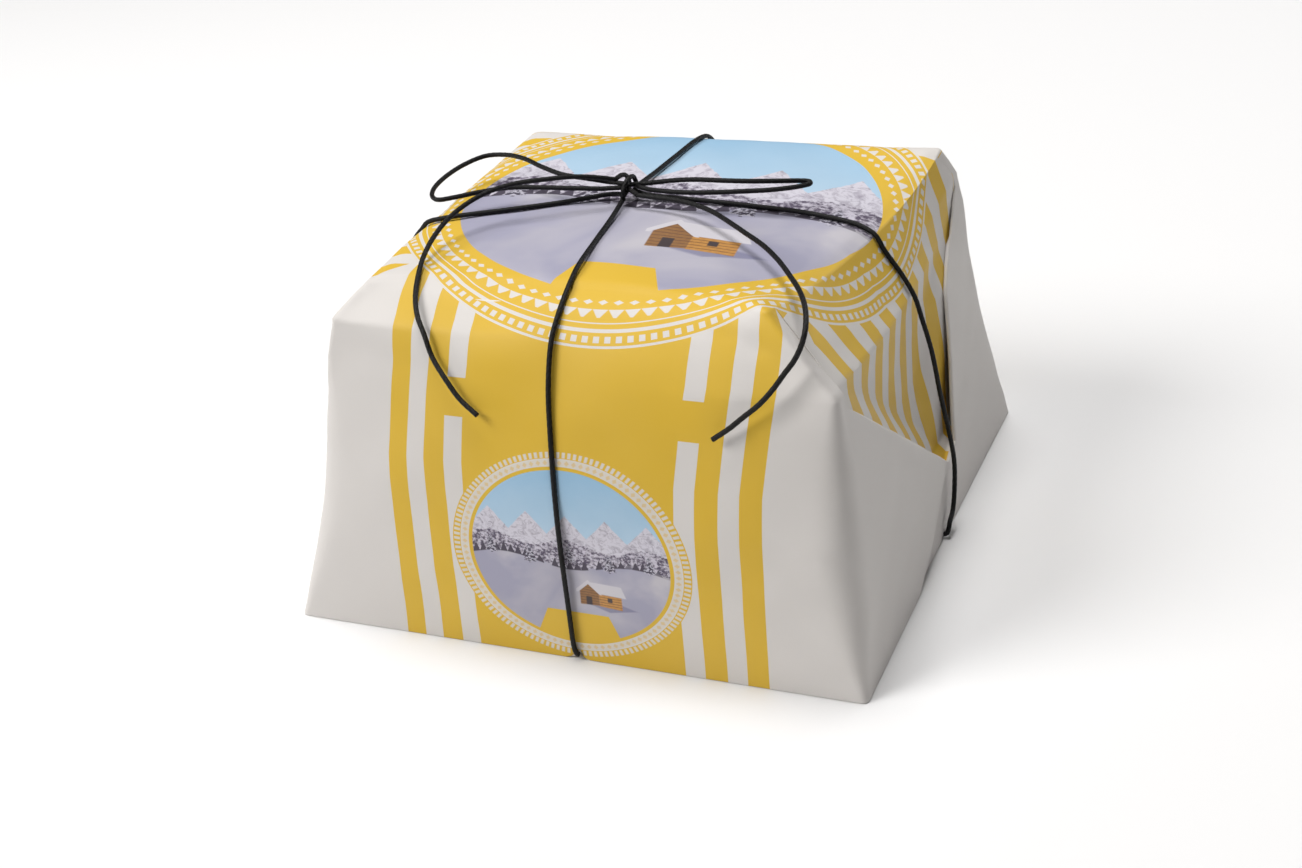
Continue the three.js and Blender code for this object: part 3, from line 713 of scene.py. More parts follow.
def sheet_places(rings, kinds):
    """Where each point lies on the flat sheet, in millimetres from the middle of its top: once as
    part of the front or back, with the corners and flaps, and once as part of an end."""
    wall = [i for i, kind in enumerate(kinds) if kind == "wall"]
    count = rings.shape[1]
    along_face = rings[:, :, :2].copy()
    along_end = rings[:, :, :2].copy()
    front_last = len(FRONT_SHARES) - 1
    back_first = COLUMN_KINDS.index("back") + HEM_COLUMNS + TURN_COLUMNS + BACK_FLAP_COLUMNS + ARC_COLUMNS
    back_last = back_first + len(BACK_SHARES) - 1
    down = np.zeros(count)
    out = np.zeros(count)
    top_row = wall[-1]
    for row in wall[::-1]:
        if row != top_row:
            step = rings[row] - rings[row + 1]
            down += np.hypot(step[:, 1], step[:, 2])
            out += np.hypot(step[:, 0], step[:, 2])
        ring = rings[row]
        steps = np.linalg.norm(np.diff(ring[:, :2], axis=0, append=ring[:1, :2]), axis=1)
        faces = (
            (range(0, front_last + 1), -1, front_last, 0),
            (range(back_first, back_last + 1), 1, back_first, back_last),
        )
        for columns, sign, at_right, at_left in faces:
            for column in columns:
                along_face[row, column, 1] = rings[top_row, column, 1] + sign * down[column]
            for at, direction, away in ((at_right, 1, 1), (at_left, -1, -1)):
                travel = direction if sign < 0 else -direction
                column = at
                u = ring[at, 0]
                for _ in range(ARC_COLUMNS + FLAP_COLUMNS + TURN_COLUMNS + HEM_COLUMNS):
                    following = (column + travel) % count
                    u += away * (steps[column] if travel > 0 else steps[following])
                    along_face[row, following] = (u, along_face[row, at, 1])
                    column = following
        along_end[row, :, 0] = rings[top_row, :, 0] + np.sign(rings[top_row, :, 0]) * out
        along_end[row, :, 1] = ring[:, 1]
    return along_face, along_end


# ---- The wrapping paper: creases, and dents under the cord ----------------------------------------
# Each crease runs between two points: [start, end, height of the ridge, width], in millimetres. A
# negative height is a valley. Heights are those before the right side of the top has sunk.
CREASES = [
    [(-96.5, -95, 125.5), (-103, -101, 96), 0.9, 7],
    [(-85, -84, 137), (-98, -96, 124), 0.7, 5],
    [(-92, -99, 118), (-60, -107, 112), -0.8, 9],
    [(109, -98, 111), (118, -112, 66), 0.5, 8],
    [(80, -85, 137), (108, -97, 112), 0.8, 5],
    [(104, -101, 112), (70, -107, 104), -0.7, 9],
    [(60, -88, 131), (84, -92, 124), -0.9, 7],
    [(70, -84, 136), (96, -94, 121), 0.6, 5],
    [(121, -8, 36), (119, -50, 60), -0.6, 10],
    [(122, -20, 22), (121, -80, 12), 0.5, 9],
    [(121.5, -6, 30), (118, -60, 86), 0.4, 10],
    [(120, 10, 24), (121, -60, 34), -0.5, 8],
    [(119, 38, 38), (112, 98, 60), -0.6, 10],
    [(116, 58, 88), (106, 100, 110), 0.5, 8],
    [(112, -40, 105), (104, -10, 122), -0.6, 8],
    [(103, 30, 125), (98, 60, 128), 0.5, 7],
    [(99, -60, 128), (104, -20, 112), 0.5, 6],
    [(-121, -20, 34), (-112, -80, 70), -0.6, 10],
    [(-122, -30, 14), (-121, -90, 20), 0.5, 9],
    [(-110, 40, 90), (-112, 96, 70), -0.6, 9],
    [(-100, -60, 124), (-104, -10, 118), -0.5, 8],
    [(-40, 108, 118), (-100, 104, 110), 0.5, 8],
    [(50, 114, 95), (100, 106, 112), -0.5, 8],
    [(-30, -118, 40), (-80, -119, 22), 0.3, 10],
    [(60, -118, 30), (100, -118, 60), -0.35, 10],
]


def near_segment(points, start, end):
    start, end = np.array(start, float), np.array(end, float)
    line = end - start
    share = np.clip((points - start) @ line / (line @ line), 0, 1)
    gap = np.linalg.norm(points - (start + share[:, None] * line), axis=1)
    return gap, share


def swell(points):
    """A slow, gentle unevenness, as of hand-folded paper over a soft bag."""
    x, y, z = points.T
    waves = np.zeros(len(points))
    for size, wx, wy, wz, phase in (
        (0.22, 0.061, 0.043, 0.071, 0.4),
        (0.17, -0.093, 0.088, 0.052, 2.1),
        (0.12, 0.137, 0.121, -0.16, 4.0),
        (0.07, 0.233, -0.205, 0.27, 1.3),
    ):
        waves += size * np.sin(wx * x + wy * y + wz * z + phase)
    return waves


def mesh_normals(points, faces):
    corners = points[faces]
    across = np.cross(corners[:, 2] - corners[:, 0], corners[:, 3] - corners[:, 1])
    # points that lie on one another move as one
    _, place = np.unique(np.round(points, 3), axis=0, return_inverse=True)
    place = place.reshape(-1)
    sums = np.zeros((place.max() + 1, 3))
    for i in range(4):
        np.add.at(sums, place[faces[:, i]], across)
    sums /= np.maximum(1e-9, np.linalg.norm(sums, axis=1))[:, None]
    return sums[place]


def pressed_by_cords(points, normals, free, routes):
    """Moves paper that a cord would cut into to just under the cord, with a soft dent beside it."""
    clearance = CORD / 2 + 0.12
    press = np.zeros(len(points))
    for route in routes:
        for start in range(0, len(points), 20000):
            part = slice(start, start + 20000)
            block = points[part]
            low, high = block.min(axis=0) - 8, block.max(axis=0) + 8
            near = route[((route > low) & (route < high)).all(axis=1)]
            if not len(near):
                continue
            best = np.full(len(block), 1e9)
            which = np.zeros(len(block), int)
            for first in range(0, len(near), 200):
                gaps = np.linalg.norm(block[:, None, :] - near[None, first : first + 200], axis=2)
                at = gaps.argmin(axis=1)
                value = gaps[np.arange(len(block)), at]
                better = value < best
                best[better] = value[better]
                which[better] = at[better] + first
            offset = block - near[which]
            height = (offset * normals[part]).sum(axis=1)
            side = np.sqrt(np.maximum(0, (offset**2).sum(axis=1) - height**2))
            rest = np.maximum(0.0, side - 0.4)
            limit = -clearance * np.exp(-((rest / 1.7) ** 2)) * (side < 5)
            over = np.where((side < 5) & (np.abs(height) < 6), height - limit, 0)
            over *= 1 - np.clip((side - 1.6) / 3.2, 0, 1) ** 0.5
            press[part] = np.maximum(press[part], np.where(best < 6, over, 0))
    return points - normals * (press * free)[:, None]


def outward_normals(points, faces, levels):
    """The normals, but on both ends below the hips the outward direction for every layer of the
    folds, so that the layers move together."""
    normals = mesh_normals(points, faces).reshape(len(levels), -1, 3)
    low = [row for row, level in enumerate(levels) if level < 105]
    for columns, outward in ((RIGHT_COLUMNS, 1), (LEFT_COLUMNS, -1)):
        normals[np.ix_(low, columns)] = np.array([outward, 0.0, 0.12]) / math.hypot(1, 0.12)
    return normals.reshape(-1, 3)


def wrapping_paper_piece(materials, routes):
    rings, kinds, levels = paper_rings()
    rows, count = rings.shape[:2]
    along_face, along_end = sheet_places(rings, kinds)
    points = rings.reshape(-1, 3)
    faces = np.array(grid_faces(rows, count))
    row_of = np.arange(rows * count) // count
    outer = np.array([kind in ("wall", "top") for kind in kinds])[row_of]
    wall_levels = [level if kind == "wall" else 137 for kind, level in zip(kinds, levels)]
    normals = outward_normals(points, faces, wall_levels)
    lift = swell(points) * np.clip(points[:, 2] / 12, 0, 1)
    sunk = np.concatenate([sag_at(ring[:, :2], level) for ring, level in zip(rings, levels)])
    unsunk = points + sunk[:, None] * (0.0, 0.0, 1.0)
    for start, end, height, width in CREASES:
        gap, share = near_segment(unsunk, start, end)
        tip = np.clip(np.minimum(share, 1 - share) * 4, 0.15, 1)
        lift += height * tip * np.clip(1 - gap / width, 0, 1) ** 1.6
    points = points + normals * (lift * outer)[:, None]
    hidden = np.array([kind == "inside" for kind in kinds])[row_of]
    for _ in range(2):
        normals = outward_normals(points, faces, wall_levels)
        points = pressed_by_cords(points, normals, (~hidden).astype(float), routes)

    bottom = len(points)
    points = np.vstack([points, [0, 4, 138.6], [0, 4, TOP]])
    polygons = faces.tolist()
    last = (rows - 1) * count
    for i in range(count):
        j = (i + 1) % count
        polygons.append((bottom, j, i))
        polygons.append((last + i, last + j, bottom + 1))
    piece = mesh_object("printed_wrapping_paper", points, polygons)
    mesh = piece.data
    for material in materials:
        mesh.materials.append(material)

    flat = mesh.uv_layers.new(name="flat_sheet")
    face_uv = along_face.reshape(-1, 2)
    end_uv = along_end.reshape(-1, 2)
    top_uv = rings[:, :, :2].reshape(-1, 2)
    low_top = max(i for i, kind in enumerate(kinds) if kind == "wall")
    vertex_of = np.zeros(len(mesh.loops), int)
    mesh.loops.foreach_get("vertex_index", vertex_of)
    uv = np.zeros((len(mesh.loops), 2))
    index = np.zeros(len(mesh.polygons), int)
    for number, polygon in enumerate(mesh.polygons):
        loops = list(polygon.loop_indices)
        if number < len(faces):
            row, column = divmod(number, count)
            kind = COLUMN_KINDS[column]
            table = top_uv if row >= low_top else (end_uv if kind in ("right", "left") else face_uv)
            uv[loops] = table[vertex_of[loops]]
            if kinds[row] in ("inside", "under"):
                index[number] = 3
            elif row >= low_top or levels[row] > 113:
                index[number] = 0
            else:
                index[number] = 2 if kind in ("right", "left") else 1
        else:
            index[number] = 3 if polygon.vertices[0] == bottom else 0
            for loop in loops:
                vertex = vertex_of[loop]
                uv[loop] = points[vertex][:2] if vertex >= bottom else top_uv[vertex]
    flat.data.foreach_set("uv", (uv * MM).ravel())
    mesh.polygons.foreach_set("material_index", index)

    tidy = bmesh.new()
    tidy.from_mesh(mesh)
    bmesh.ops.remove_doubles(tidy, verts=tidy.verts, dist=0.002 * MM)
    bmesh.ops.dissolve_degenerate(tidy, dist=0.0005 * MM, edges=tidy.edges)
    tidy.to_mesh(mesh)
    tidy.free()
    mesh.set_sharp_from_angle(angle=math.radians(50))
    return piece


# ---- The print ----------------------------------------------------------------------------------
# Everything is laid out on the flat sheet in millimetres: u to the right, v to the back, from the
# middle of the top.
PAPER_WHITE = (0.70, 0.67, 0.645)
SUN_YELLOW = (0.715, 0.455, 0.028)
BAND_CENTRE = 6.8
END_CENTRE = 14.0
RING_CENTRE = (3.5, 14.0)
RING_SHIFT = (9.5, -3.0)  # how far the frame has moved where it comes over the front of the top
SMALL_CENTRE = (6.5, -184.0)
PICTURE_RADIUS = 88.0
FRAME_RADIUS = 112.7
SMALL_HALF = (49.5, 42.5)  # half sizes of the small frame on the sheet, which is drawn as a circle
SMALL_FRAME = 46.0  # its radius there, and that of its picture
SMALL_PICTURE = 38.8


def soft_step(value, edge, width=0.12):
    """0 below the edge and 1 above it, over a narrow width."""
    return ((value - edge) / width + 0.5).clamped()


def between(value, low, high, width=0.12):
    return soft_step(value, low, width) * (1.0 - soft_step(value, high, width))


def place_on_sheet(shader):
    uv = shader.node("ShaderNodeUVMap", {"uv_map": "flat_sheet"}).outputs[0]
    parts = shader.node("ShaderNodeSeparateXYZ", None, {0: uv}).outputs
    return Value(shader, parts[0]) / MM, Value(shader, parts[1]) / MM


def bands(across, gap_mask=None):
    """White bands on yellow at a distance from the middle of an arm of the sheet, and white beyond."""
    inner = between(across, 44.0, 52.0)
    if gap_mask is not None:
        inner = inner * (1.0 - gap_mask)
    return inner.high(between(across, 61.0, 69.0)).high(soft_step(across, 77.5))


def end_stripes(across):
    """The even stripes over an end of the parcel, white beyond the outermost yellow one."""
    yellow = between(across, 4.7, 14.6)
    for low, high in ((23.6, 33.4), (42.2, 52.0), (61.5, 71.5), (81.5, 91.5)):
        yellow = yellow.high(between(across, low, high))
    return 1.0 - yellow


def outline_ramp(shader, across, points):
    """The height of an outline at a place across, both from 0 to 1."""
    stops = [(x, (y, y, y)) for x, y in points]
    return shader.value("ShaderNodeValToRGB", {"stops": stops}, {0: across})


def even_peaks(low, high, peaks):
    """An outline of equal peaks side by side."""
    steps = 2 * peaks
    return [(i / steps, high if i % 2 else low) for i in range(steps + 1)]


def soft_hills(level, swing, waves):
    """An outline of equal rounded hills."""
    steps = 16
    return [(i / steps, level + swing * math.sin(2 * math.pi * waves * i / steps)) for i in range(steps + 1)]


def fir_row(shader, x, y, ground, fine, blur):
    """Where a row of small firs stands on the far edge of the snow, with a gap here and there."""
    pitch, tall = 27.0, 0.09
    cell = (x * 0.5 + 0.5) * pitch
    number = cell.maths("FLOOR")
    random = shader.value("ShaderNodeTexWhiteNoise", {"noise_dimensions": "1D"}, {1: number + 2.0})
    local = abs(cell - number - 0.5) * 2.0
    tip = (1.0 - local * 1.15) * (random * 0.7 + 0.45) * tall
    tree = soft_step(ground + tip + (fine - 0.5) * 0.03 - y, 0.0, blur)
    return tree * soft_step(y, ground - 0.02, blur) * soft_step(random, 0.22)


def snowy_fir(shader, x, y, fine, blur, foot, size, color):
    """A single fir over a colour, x from its trunk."""
    up = (y - foot) / size
    tier = (up * 5.0).maths("FRACT")
    reach = (1.0 - up) * 0.30 * size + (1.0 - tier) * 0.075 * size + (fine - 0.5) * 0.10 * size
    crown = soft_step(reach - abs(x), 0.0, blur) * between(up, 0.06, 1.0, 0.02)
    trunk = soft_step(0.02 * size + 0.006 - abs(x), 0.0, blur) * between(up, -0.04, 0.1, 0.02)
    frost = soft_step(fine + (1.0 - tier) * 0.10, 0.56, 0.06) * 0.85
    needles = shader.mix(frost, (0.05, 0.043, 0.075), (0.60, 0.585, 0.68))
    return shader.mix(crown.high(trunk), color, needles)


def log_hut(shader, px, py, grain, fine, blur, color):
    """A plain log hut under snow over a colour, px and py from its front corner in its own size."""
    cast = soft_step(1.0 - abs(px - 1.3 - py * 0.6) / 1.5 - abs(py + 0.72) / 0.42, 0.0, 0.25)
    color = shader.mix(cast * 0.7, color, (0.17, 0.17, 0.29))
    log = ((py + grain * 0.1) * 5.0).maths("FRACT")
    seam = between(log, 0.0, 0.25, 0.12) * 0.7
    timber = shader.mix(((fine - 0.3) * 1.7).clamped(), (0.60, 0.30, 0.07), (0.36, 0.15, 0.035))
    timber = shader.mix(seam, timber, (0.13, 0.05, 0.02))
    long_side = between(px, 0.0, 1.45, blur) * between(py + px * 0.06, -0.75, 0.25, blur)
    window = between(px, 0.55, 0.85, blur) * between(py, -0.35, -0.02, blur)
    color = shader.mix(long_side, color, shader.mix(window, timber, (0.05, 0.035, 0.04)))
    gable = soft_step(0.85 - abs(px + 0.62) * 1.05 - py, 0.0, blur) * between(px, -1.2, 0.02, blur)
    gable = gable * soft_step(py - px * 0.05, -0.72, blur)
    shaded = shader.mix(0.55, timber, (0.08, 0.035, 0.03))
    door = between(px, -0.82, -0.45, blur) * between(py, -0.9, -0.12, blur)
    color = shader.mix(gable, color, shader.mix(door, shaded, (0.04, 0.025, 0.03)))
    from_ridge = px + 0.62
    cover = between(py + px * 0.02, 0.18, 0.98, blur)
    cover = cover * soft_step(from_ridge - (0.98 - py) * 0.85, 0.0, blur)
    cover = cover * soft_step(2.35 - from_ridge - (py - 0.18) * 0.35, 0.0, blur)
    rim = soft_step(0.16 - abs(0.98 - abs(from_ridge) * 1.02 - py), 0.0, blur)
    rim = rim * between(px, -1.42, 0.2, blur)
    roof = cover.high(rim * soft_step(py, 0.12, blur))
    return shader.mix(roof, color, (0.62, 0.60, 0.65))


FIRS = 5  # single firs, at even distances
FIR_SIZE = 0.2
HUT_PLACE = (0.26, -0.42)
HUT_SIZE = 0.16


def snow_scene(shader, x, y, blur):
    """A plain winter landscape on a round field, x and y from -1 to 1 over its width."""
    across = x * 0.5 + 0.5
    place = shader.node("ShaderNodeCombineXYZ", None, {0: x, 1: y}).outputs[0]
    grain = shader.noise(place, 9.0, 5.0, 0.65)
    fine = shader.noise(place, 34.0, 4.0, 0.65)
    ragged = (grain - 0.5) * 0.10 + (fine - 0.5) * 0.07

    def layer(color, outline, tint, tear):
        height = outline_ramp(shader, across, outline) * 2.0 - 1.0
        mask = soft_step(height + ragged * tear - y, 0.0, blur)
        return shader.mix(mask, color, tint), height

    cloud = shader.noise(place, 2.2, 4.0, 0.55)
    sky = shader.mix((y * 0.9 + (cloud - 0.5) * 0.5).clamped(), (0.50, 0.66, 0.80), (0.27, 0.49, 0.70))
    streak = (shader.noise(place, 14.0, 5.0, 0.7, 1.4) - 0.47) * 3.4
    rock = shader.mix(streak.clamped(), (0.66, 0.64, 0.72), (0.20, 0.17, 0.24))
    color, _ = layer(sky, even_peaks(0.63, 0.75, 5), rock, 0.35)
    wooded = ((fine - 0.5) * 5.0 + (grain - 0.5) * 4.0 + 0.5).clamped()
    slope = shader.mix(wooded, (0.60, 0.57, 0.66), (0.085, 0.066, 0.115))
    color, _ = layer(color, soft_hills(0.58, 0.03, 2.5), slope, 0.6)
    drift = shader.noise(place, 1.6, 3.0, 0.5, 0.6)
    shade = ((drift - 0.42) * 3.2 + (0.2 - y) * 0.12).clamped()
    snow = shader.mix(shade, (0.36, 0.355, 0.47), (0.55, 0.53, 0.58))
    color, ground = layer(color, soft_hills(0.47, 0.03, 1.5), snow, 0.25)

    color = shader.mix(fir_row(shader, x, y, ground, fine, blur), color, (0.055, 0.045, 0.075))
    for i in range(FIRS):
        trunk = -0.8 + 0.4 * i
        color = snowy_fir(shader, x - trunk, y, fine, blur, -0.05 - 0.06 * (i % 2), FIR_SIZE, color)
    px = (x - HUT_PLACE[0]) / HUT_SIZE
    py = (y - HUT_PLACE[1]) / HUT_SIZE
    return log_hut(shader, px, py, grain, fine, blur / HUT_SIZE, color)


def line(value, middle, width, blur=0.12):
    """A line of a width where a value passes its middle."""
    return 1.0 - soft_step(abs(value - middle), width / 2, blur)


BEADS = 96  # round the large frame, with a tooth for each
SQUARES = 152


def ring_ornament(r, angle):
    """Where the white of the round frame shows, by the distance from its middle: beads, a row of
    teeth, two lines, and squares inside an outer line. The angle runs from 0 to 1 round the frame."""

    def repeat(count):
        return abs((angle * float(count)).maths("FRACT") - 0.5) * 2.0

    beads = soft_step(1.0 - repeat(BEADS) - abs(r - 93.6) / 2.0, 0.35, 0.2)
    teeth = between(r, 97.0, 100.6) * soft_step((101.4 - r) * 0.22 - repeat(BEADS), 0.0, 0.15)
    lines = line(r, 102.9, 0.5).high(line(r, 105.9, 1.5))
    squares = between(r, 108.1, 110.6) * soft_step(repeat(SQUARES), 0.47, 0.06)
    return beads.high(teeth).high(lines).high(squares).high(line(r, 112.2, 1.0))


def paper_finish(shader, color, printed):
    """Smooth uncoated paper: faint fibres, fine crumples and a little ink wear on the folds."""
    place = shader.object_place()
    fibre = shader.noise(place, 900.0, 4.0, 0.6)
    cloudy = shader.noise(place, 26.0, 3.0, 0.55)
    crumple = shader.noise(place, 17.0, 2.0, 0.45, 0.5)
    geometry = shader.node("ShaderNodeNewGeometry").outputs["Pointiness"]
    fold = ((Value(shader, geometry) - 0.545) * 9.0).clamped()
    worn = fold * ((fibre - 0.38) * 3.0).clamped() * 0.5
    mottled = shader.mix(((cloudy - 0.5) * 0.9 + 0.5).clamped() * 0.07, color, (0.62, 0.57, 0.52))
    color = shader.mix(worn, mottled, (0.86, 0.84, 0.81))
    creases = shader.bump(crumple, 0.0011, 0.55)
    normal = shader.bump(fibre, 0.00006, 0.5, creases)
    rough = 0.50 + (fibre - 0.5) * 0.10 - printed * 0.06
    shader.set(Base_Color=color, Roughness=rough, Normal=normal)
    shader.finish.inputs["Specular IOR Level"].default_value = 0.3
    shader.finish.inputs["Sheen Weight"].default_value = 0.04
    return shader.material


def moved_bands(u, v):
    """How far the print has moved to the right where the sheet bends over the front of the top."""
    return u - (((-60.0 - v) / 35.0).clamped() - ((-112.0 - v) / 38.0).clamped()) * 3.2


def top_print():
    shader = Shader("printed_paper_top")
    u, v = place_on_sheet(shader)
    from_u, from_v = abs(moved_bands(u, v) - BAND_CENTRE), abs(v - END_CENTRE)
    end_arm = soft_step(from_u - from_v, 0.0)
    front_bands = bands(from_u)
    stripes = end_stripes(from_v).high(soft_step(v, 96.0))
    white = front_bands + (stripes - front_bands) * end_arm
    shift = ((-10.0 - v) / 70.0).clamped()
    du = u - RING_CENTRE[0] - shift * RING_SHIFT[0]
    dv = v - RING_CENTRE[1] - shift * RING_SHIFT[1]
    radius = (du * du + dv * dv).maths("SQRT")
    angle = dv.maths("ARCTAN2", du) / (2 * math.pi) + 0.5
    outside = soft_step(radius, FRAME_RADIUS)
    white = white * outside + ring_ornament(radius, angle) * (1.0 - outside)
    color = shader.mix(white, SUN_YELLOW, PAPER_WHITE)
    scene = snow_scene(shader, du / PICTURE_RADIUS, dv / PICTURE_RADIUS, 0.006)
    tab_edge = 15.9 - (dv + 67.5) * 0.343
    tab = soft_step(tab_edge - abs(du - 0.6), 0.0) * (1.0 - soft_step(dv + du * 0.03, -67.5))
    field = (1.0 - soft_step(radius, PICTURE_RADIUS)) * (1.0 - tab)
    color = shader.mix(field, color, scene)
    return paper_finish(shader, color, field)


def front_print():
    shader = Shader("printed_paper_front")
    u, v = place_on_sheet(shader)
    behind = soft_step(v, 0.0)
    u = (moved_bands(u, v) - BAND_CENTRE) * (1.0 - behind * 2.0)
    v = v - behind * (2.0 * v - 13.0)
    across = abs(u)
    white = bands(across, between(v, -132.0, -117.0))
    du = (u - (SMALL_CENTRE[0] - BAND_CENTRE)) / SMALL_HALF[0]
    dv = (v - SMALL_CENTRE[1]) / SMALL_HALF[1]
    radius = (du * du + dv * dv).maths("SQRT")
    angle = dv.maths("ARCTAN2", du) / (2 * math.pi) + 0.5
    reach = radius * SMALL_FRAME
    inside = 1.0 - soft_step(reach, 46.8)
    pitch = abs((angle * 132.0).maths("FRACT") - 0.5) * 2.0
    fringe = soft_step(pitch, 0.45, 0.3) * between(reach, 44.0, 46.4) * 0.9
    beads = soft_step(abs((angle * 96.0).maths("FRACT") - 0.5) * 2.0 + abs(reach - 41.9) / 1.6, 0.7, 0.3)
    lace = between(reach, 40.6, 43.2) * (0.45 + beads * 0.45)
    rims = between(reach, 40.3, 40.8).high(between(reach, 43.1, 43.7))
    small = fringe.high(lace).high(rims)
    white = white + (small - white) * inside
    color = shader.mix(white, SUN_YELLOW, PAPER_WHITE)
    enlarged = SMALL_FRAME / SMALL_PICTURE
    scene = snow_scene(shader, du * enlarged, dv * enlarged, 0.012)
    tab_side = abs(u - 0.9)
    tab = soft_step(19.5 - tab_side - (v + 222.0) * 0.45, 0.0) * (1.0 - soft_step(v, -207.5))
    field = (1.0 - soft_step(reach, SMALL_PICTURE)) * (1.0 - tab)
    color = shader.mix(field, color, scene)
    return paper_finish(shader, color, field)


def end_print():
    shader = Shader("printed_paper_ends")
    _, v = place_on_sheet(shader)
    color = shader.mix(end_stripes(abs(v - END_CENTRE)), SUN_YELLOW, PAPER_WHITE)
    return paper_finish(shader, color, 0.0)


def plain_paper():
    """The unprinted back of the sheet, seen under the parcel and inside it."""
    shader = Shader("paper_unprinted_side")
    fibre = shader.noise(shader.object_place(), 260.0, 4.0, 0.65)
    color = shader.mix(fibre, (0.80, 0.77, 0.73), (0.70, 0.67, 0.63))
    return paper_finish(shader, color, 0.0)


ALL_ROUTES = [
    smooth_route(points)[0]
    for points in (TIE_FRONT_BACK, TIE_LEFT_RIGHT, LOOP_LEFT, LOOP_RIGHT, TAIL_LEFT, TAIL_RIGHT)
]
paper = wrapping_paper_piece([top_print(), front_print(), end_print(), plain_paper()], ALL_ROUTES)
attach(paper, "root")
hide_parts("wrapping_paper")


# ---- The knot -----------------------------------------------------------------------------------
KNOT_STRANDS = [
    [[-12, 1.5, 142.3], [-12.6, 4.6, 142.6], [-15, 7.8, 143.1], [-19, 9, 142.7], [-23, 9, 142.2]],
    [[-13, 23, 142.3], [-12.6, 18, 142.6], [-10.5, 13, 143.1], [-6, 11, 142.7], [-1, 10.5, 142.2]],
    [[-22, 12, 146.8], [-17, 11.8, 146.6], [-12.5, 11.4, 146.3], [-7, 12.2, 146.6], [-2, 13, 147]],
    [[-23, 6, 145.9], [-18, 7.2, 146], [-12.5, 7.6, 146.2], [-8, 4.6, 145.9], [-4.5, 1.5, 145.6]],
    [
        [-1.5, 6.8, 146.2], [-6, 8.6, 146.4], [-9.2, 12.2, 145.6], [-10.6, 14.6, 146.4],
        [-11, 13.6, 148.9], [-11.1, 9.6, 149.9], [-11.3, 5.4, 148.9], [-11.6, 3.2, 146.2],
        [-12.2, 4.4, 144], [-13, 9.5, 143.9], [-13.8, 14.2, 144.4], [-14.3, 15.8, 146.6],
        [-14.5, 13.8, 149.3], [-14.7, 9.8, 150.8], [-15, 4, 151],
    ],
]


def cord_knot():
    """Two cords turned round each other on the parcel, and the half bow wound round its own loops."""
    strands = [cord_piece("strand", points, CORD_BLACK)[0] for points in KNOT_STRANDS]
    bpy.context.view_layer.update()
    joined = strands[0]
    tidy = bmesh.new()
    for strand in strands:
        tidy.from_mesh(strand.data)
    tidy.to_mesh(joined.data)
    tidy.free()
    for strand in strands[1:]:
        bpy.data.objects.remove(strand)
    joined.data.polygons.foreach_set("use_smooth", [True] * len(joined.data.polygons))
    joined.name = "cord_knot_tied"
    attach(joined, "root")
    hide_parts("cord_knot")


cord_knot()


# ---- What the paper holds -----------------------------------------------------------------------
def turned_mesh(name, profile, around, material, shape=None):
    """A closed turned shape from a profile of (radius, height) that starts and ends on the axis."""
    points = []
    for radius, height in profile[1:-1]:
        for i in range(around):
            angle = 2 * math.pi * i / around
            r, z = (radius, height) if shape is None else shape(radius, height, angle)
            points.append((r * math.cos(angle), r * math.sin(angle), z))
    rows = len(profile) - 2
    faces = grid_faces(rows, around)
    bottom = len(points)
    points += [(0, 0, profile[0][1]), (0, 0, profile[-1][1])]
    last = (rows - 1) * around
    for i in range(around):
        j = (i + 1) % around
        faces.append((bottom, j, i))
        faces.append((bottom + 1, last + i, last + j))
    return mesh_object(name, points, faces, material)


def finer(profile, step):
    """The same profile with more points along it."""
    fine = [profile[0]]
    for (r0, z0), (r1, z1) in zip(profile, profile[1:]):
        count = max(1, round(math.hypot(r1 - r0, z1 - z0) / step))
        fine += [(r0 + (r1 - r0) * i / count, z0 + (z1 - z0) * i / count) for i in range(1, count + 1)]
    return fine


def grey_card_material():
    shader = Shader("grey_card")
    place = shader.object_place()
    flecks = shader.noise(place, 700.0, 4.0, 0.7)
    clouds = shader.noise(place, 40.0, 3.0)
    color = shader.mix(flecks, (0.56, 0.52, 0.46), (0.40, 0.37, 0.32))
    color = shader.mix(clouds * 0.3, color, (0.60, 0.57, 0.51))
    shader.set(Base_Color=color, Roughness=0.82 + (flecks - 0.5) * 0.12)
    shader.set(Normal=shader.bump(flecks, 0.0001, 0.6))
    return shader.material


def card_piece():
    low, high = ([side / MM for side in corner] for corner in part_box("base_card"))
    half_x, half_y = high[0], high[1]
    radius = 9
    outline = []
    for cx, cy, first in ((1, -1, -90), (1, 1, 0), (-1, 1, 90), (-1, -1, 180)):
        for i in range(9):
            angle = math.radians(first + 90 * i / 8)
            x = cx * (half_x - radius) + radius * math.cos(angle)
            y = cy * (half_y - radius) + radius * math.sin(angle)
            outline.append((x, y))
    count = len(outline)
    soft = 0.35
    levels = (
        (soft, low[2]), (0.1, low[2] + 0.1), (0, low[2] + soft),
        (0, high[2] - soft), (0.1, high[2] - 0.1), (soft, high[2]),
    )
    points = []
    for inset, z in levels:
        points += [(x * (1 - inset / half_x), y * (1 - inset / half_y), z) for x, y in outline]
    faces = grid_faces(len(levels), count)
    faces.append(tuple(range(count))[::-1])
    faces.append(tuple(range((len(levels) - 1) * count, len(levels) * count)))
    piece = mesh_object("loaf_card", points, faces, grey_card_material(), smooth=False)
    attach(piece, "root")
    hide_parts("base_card")


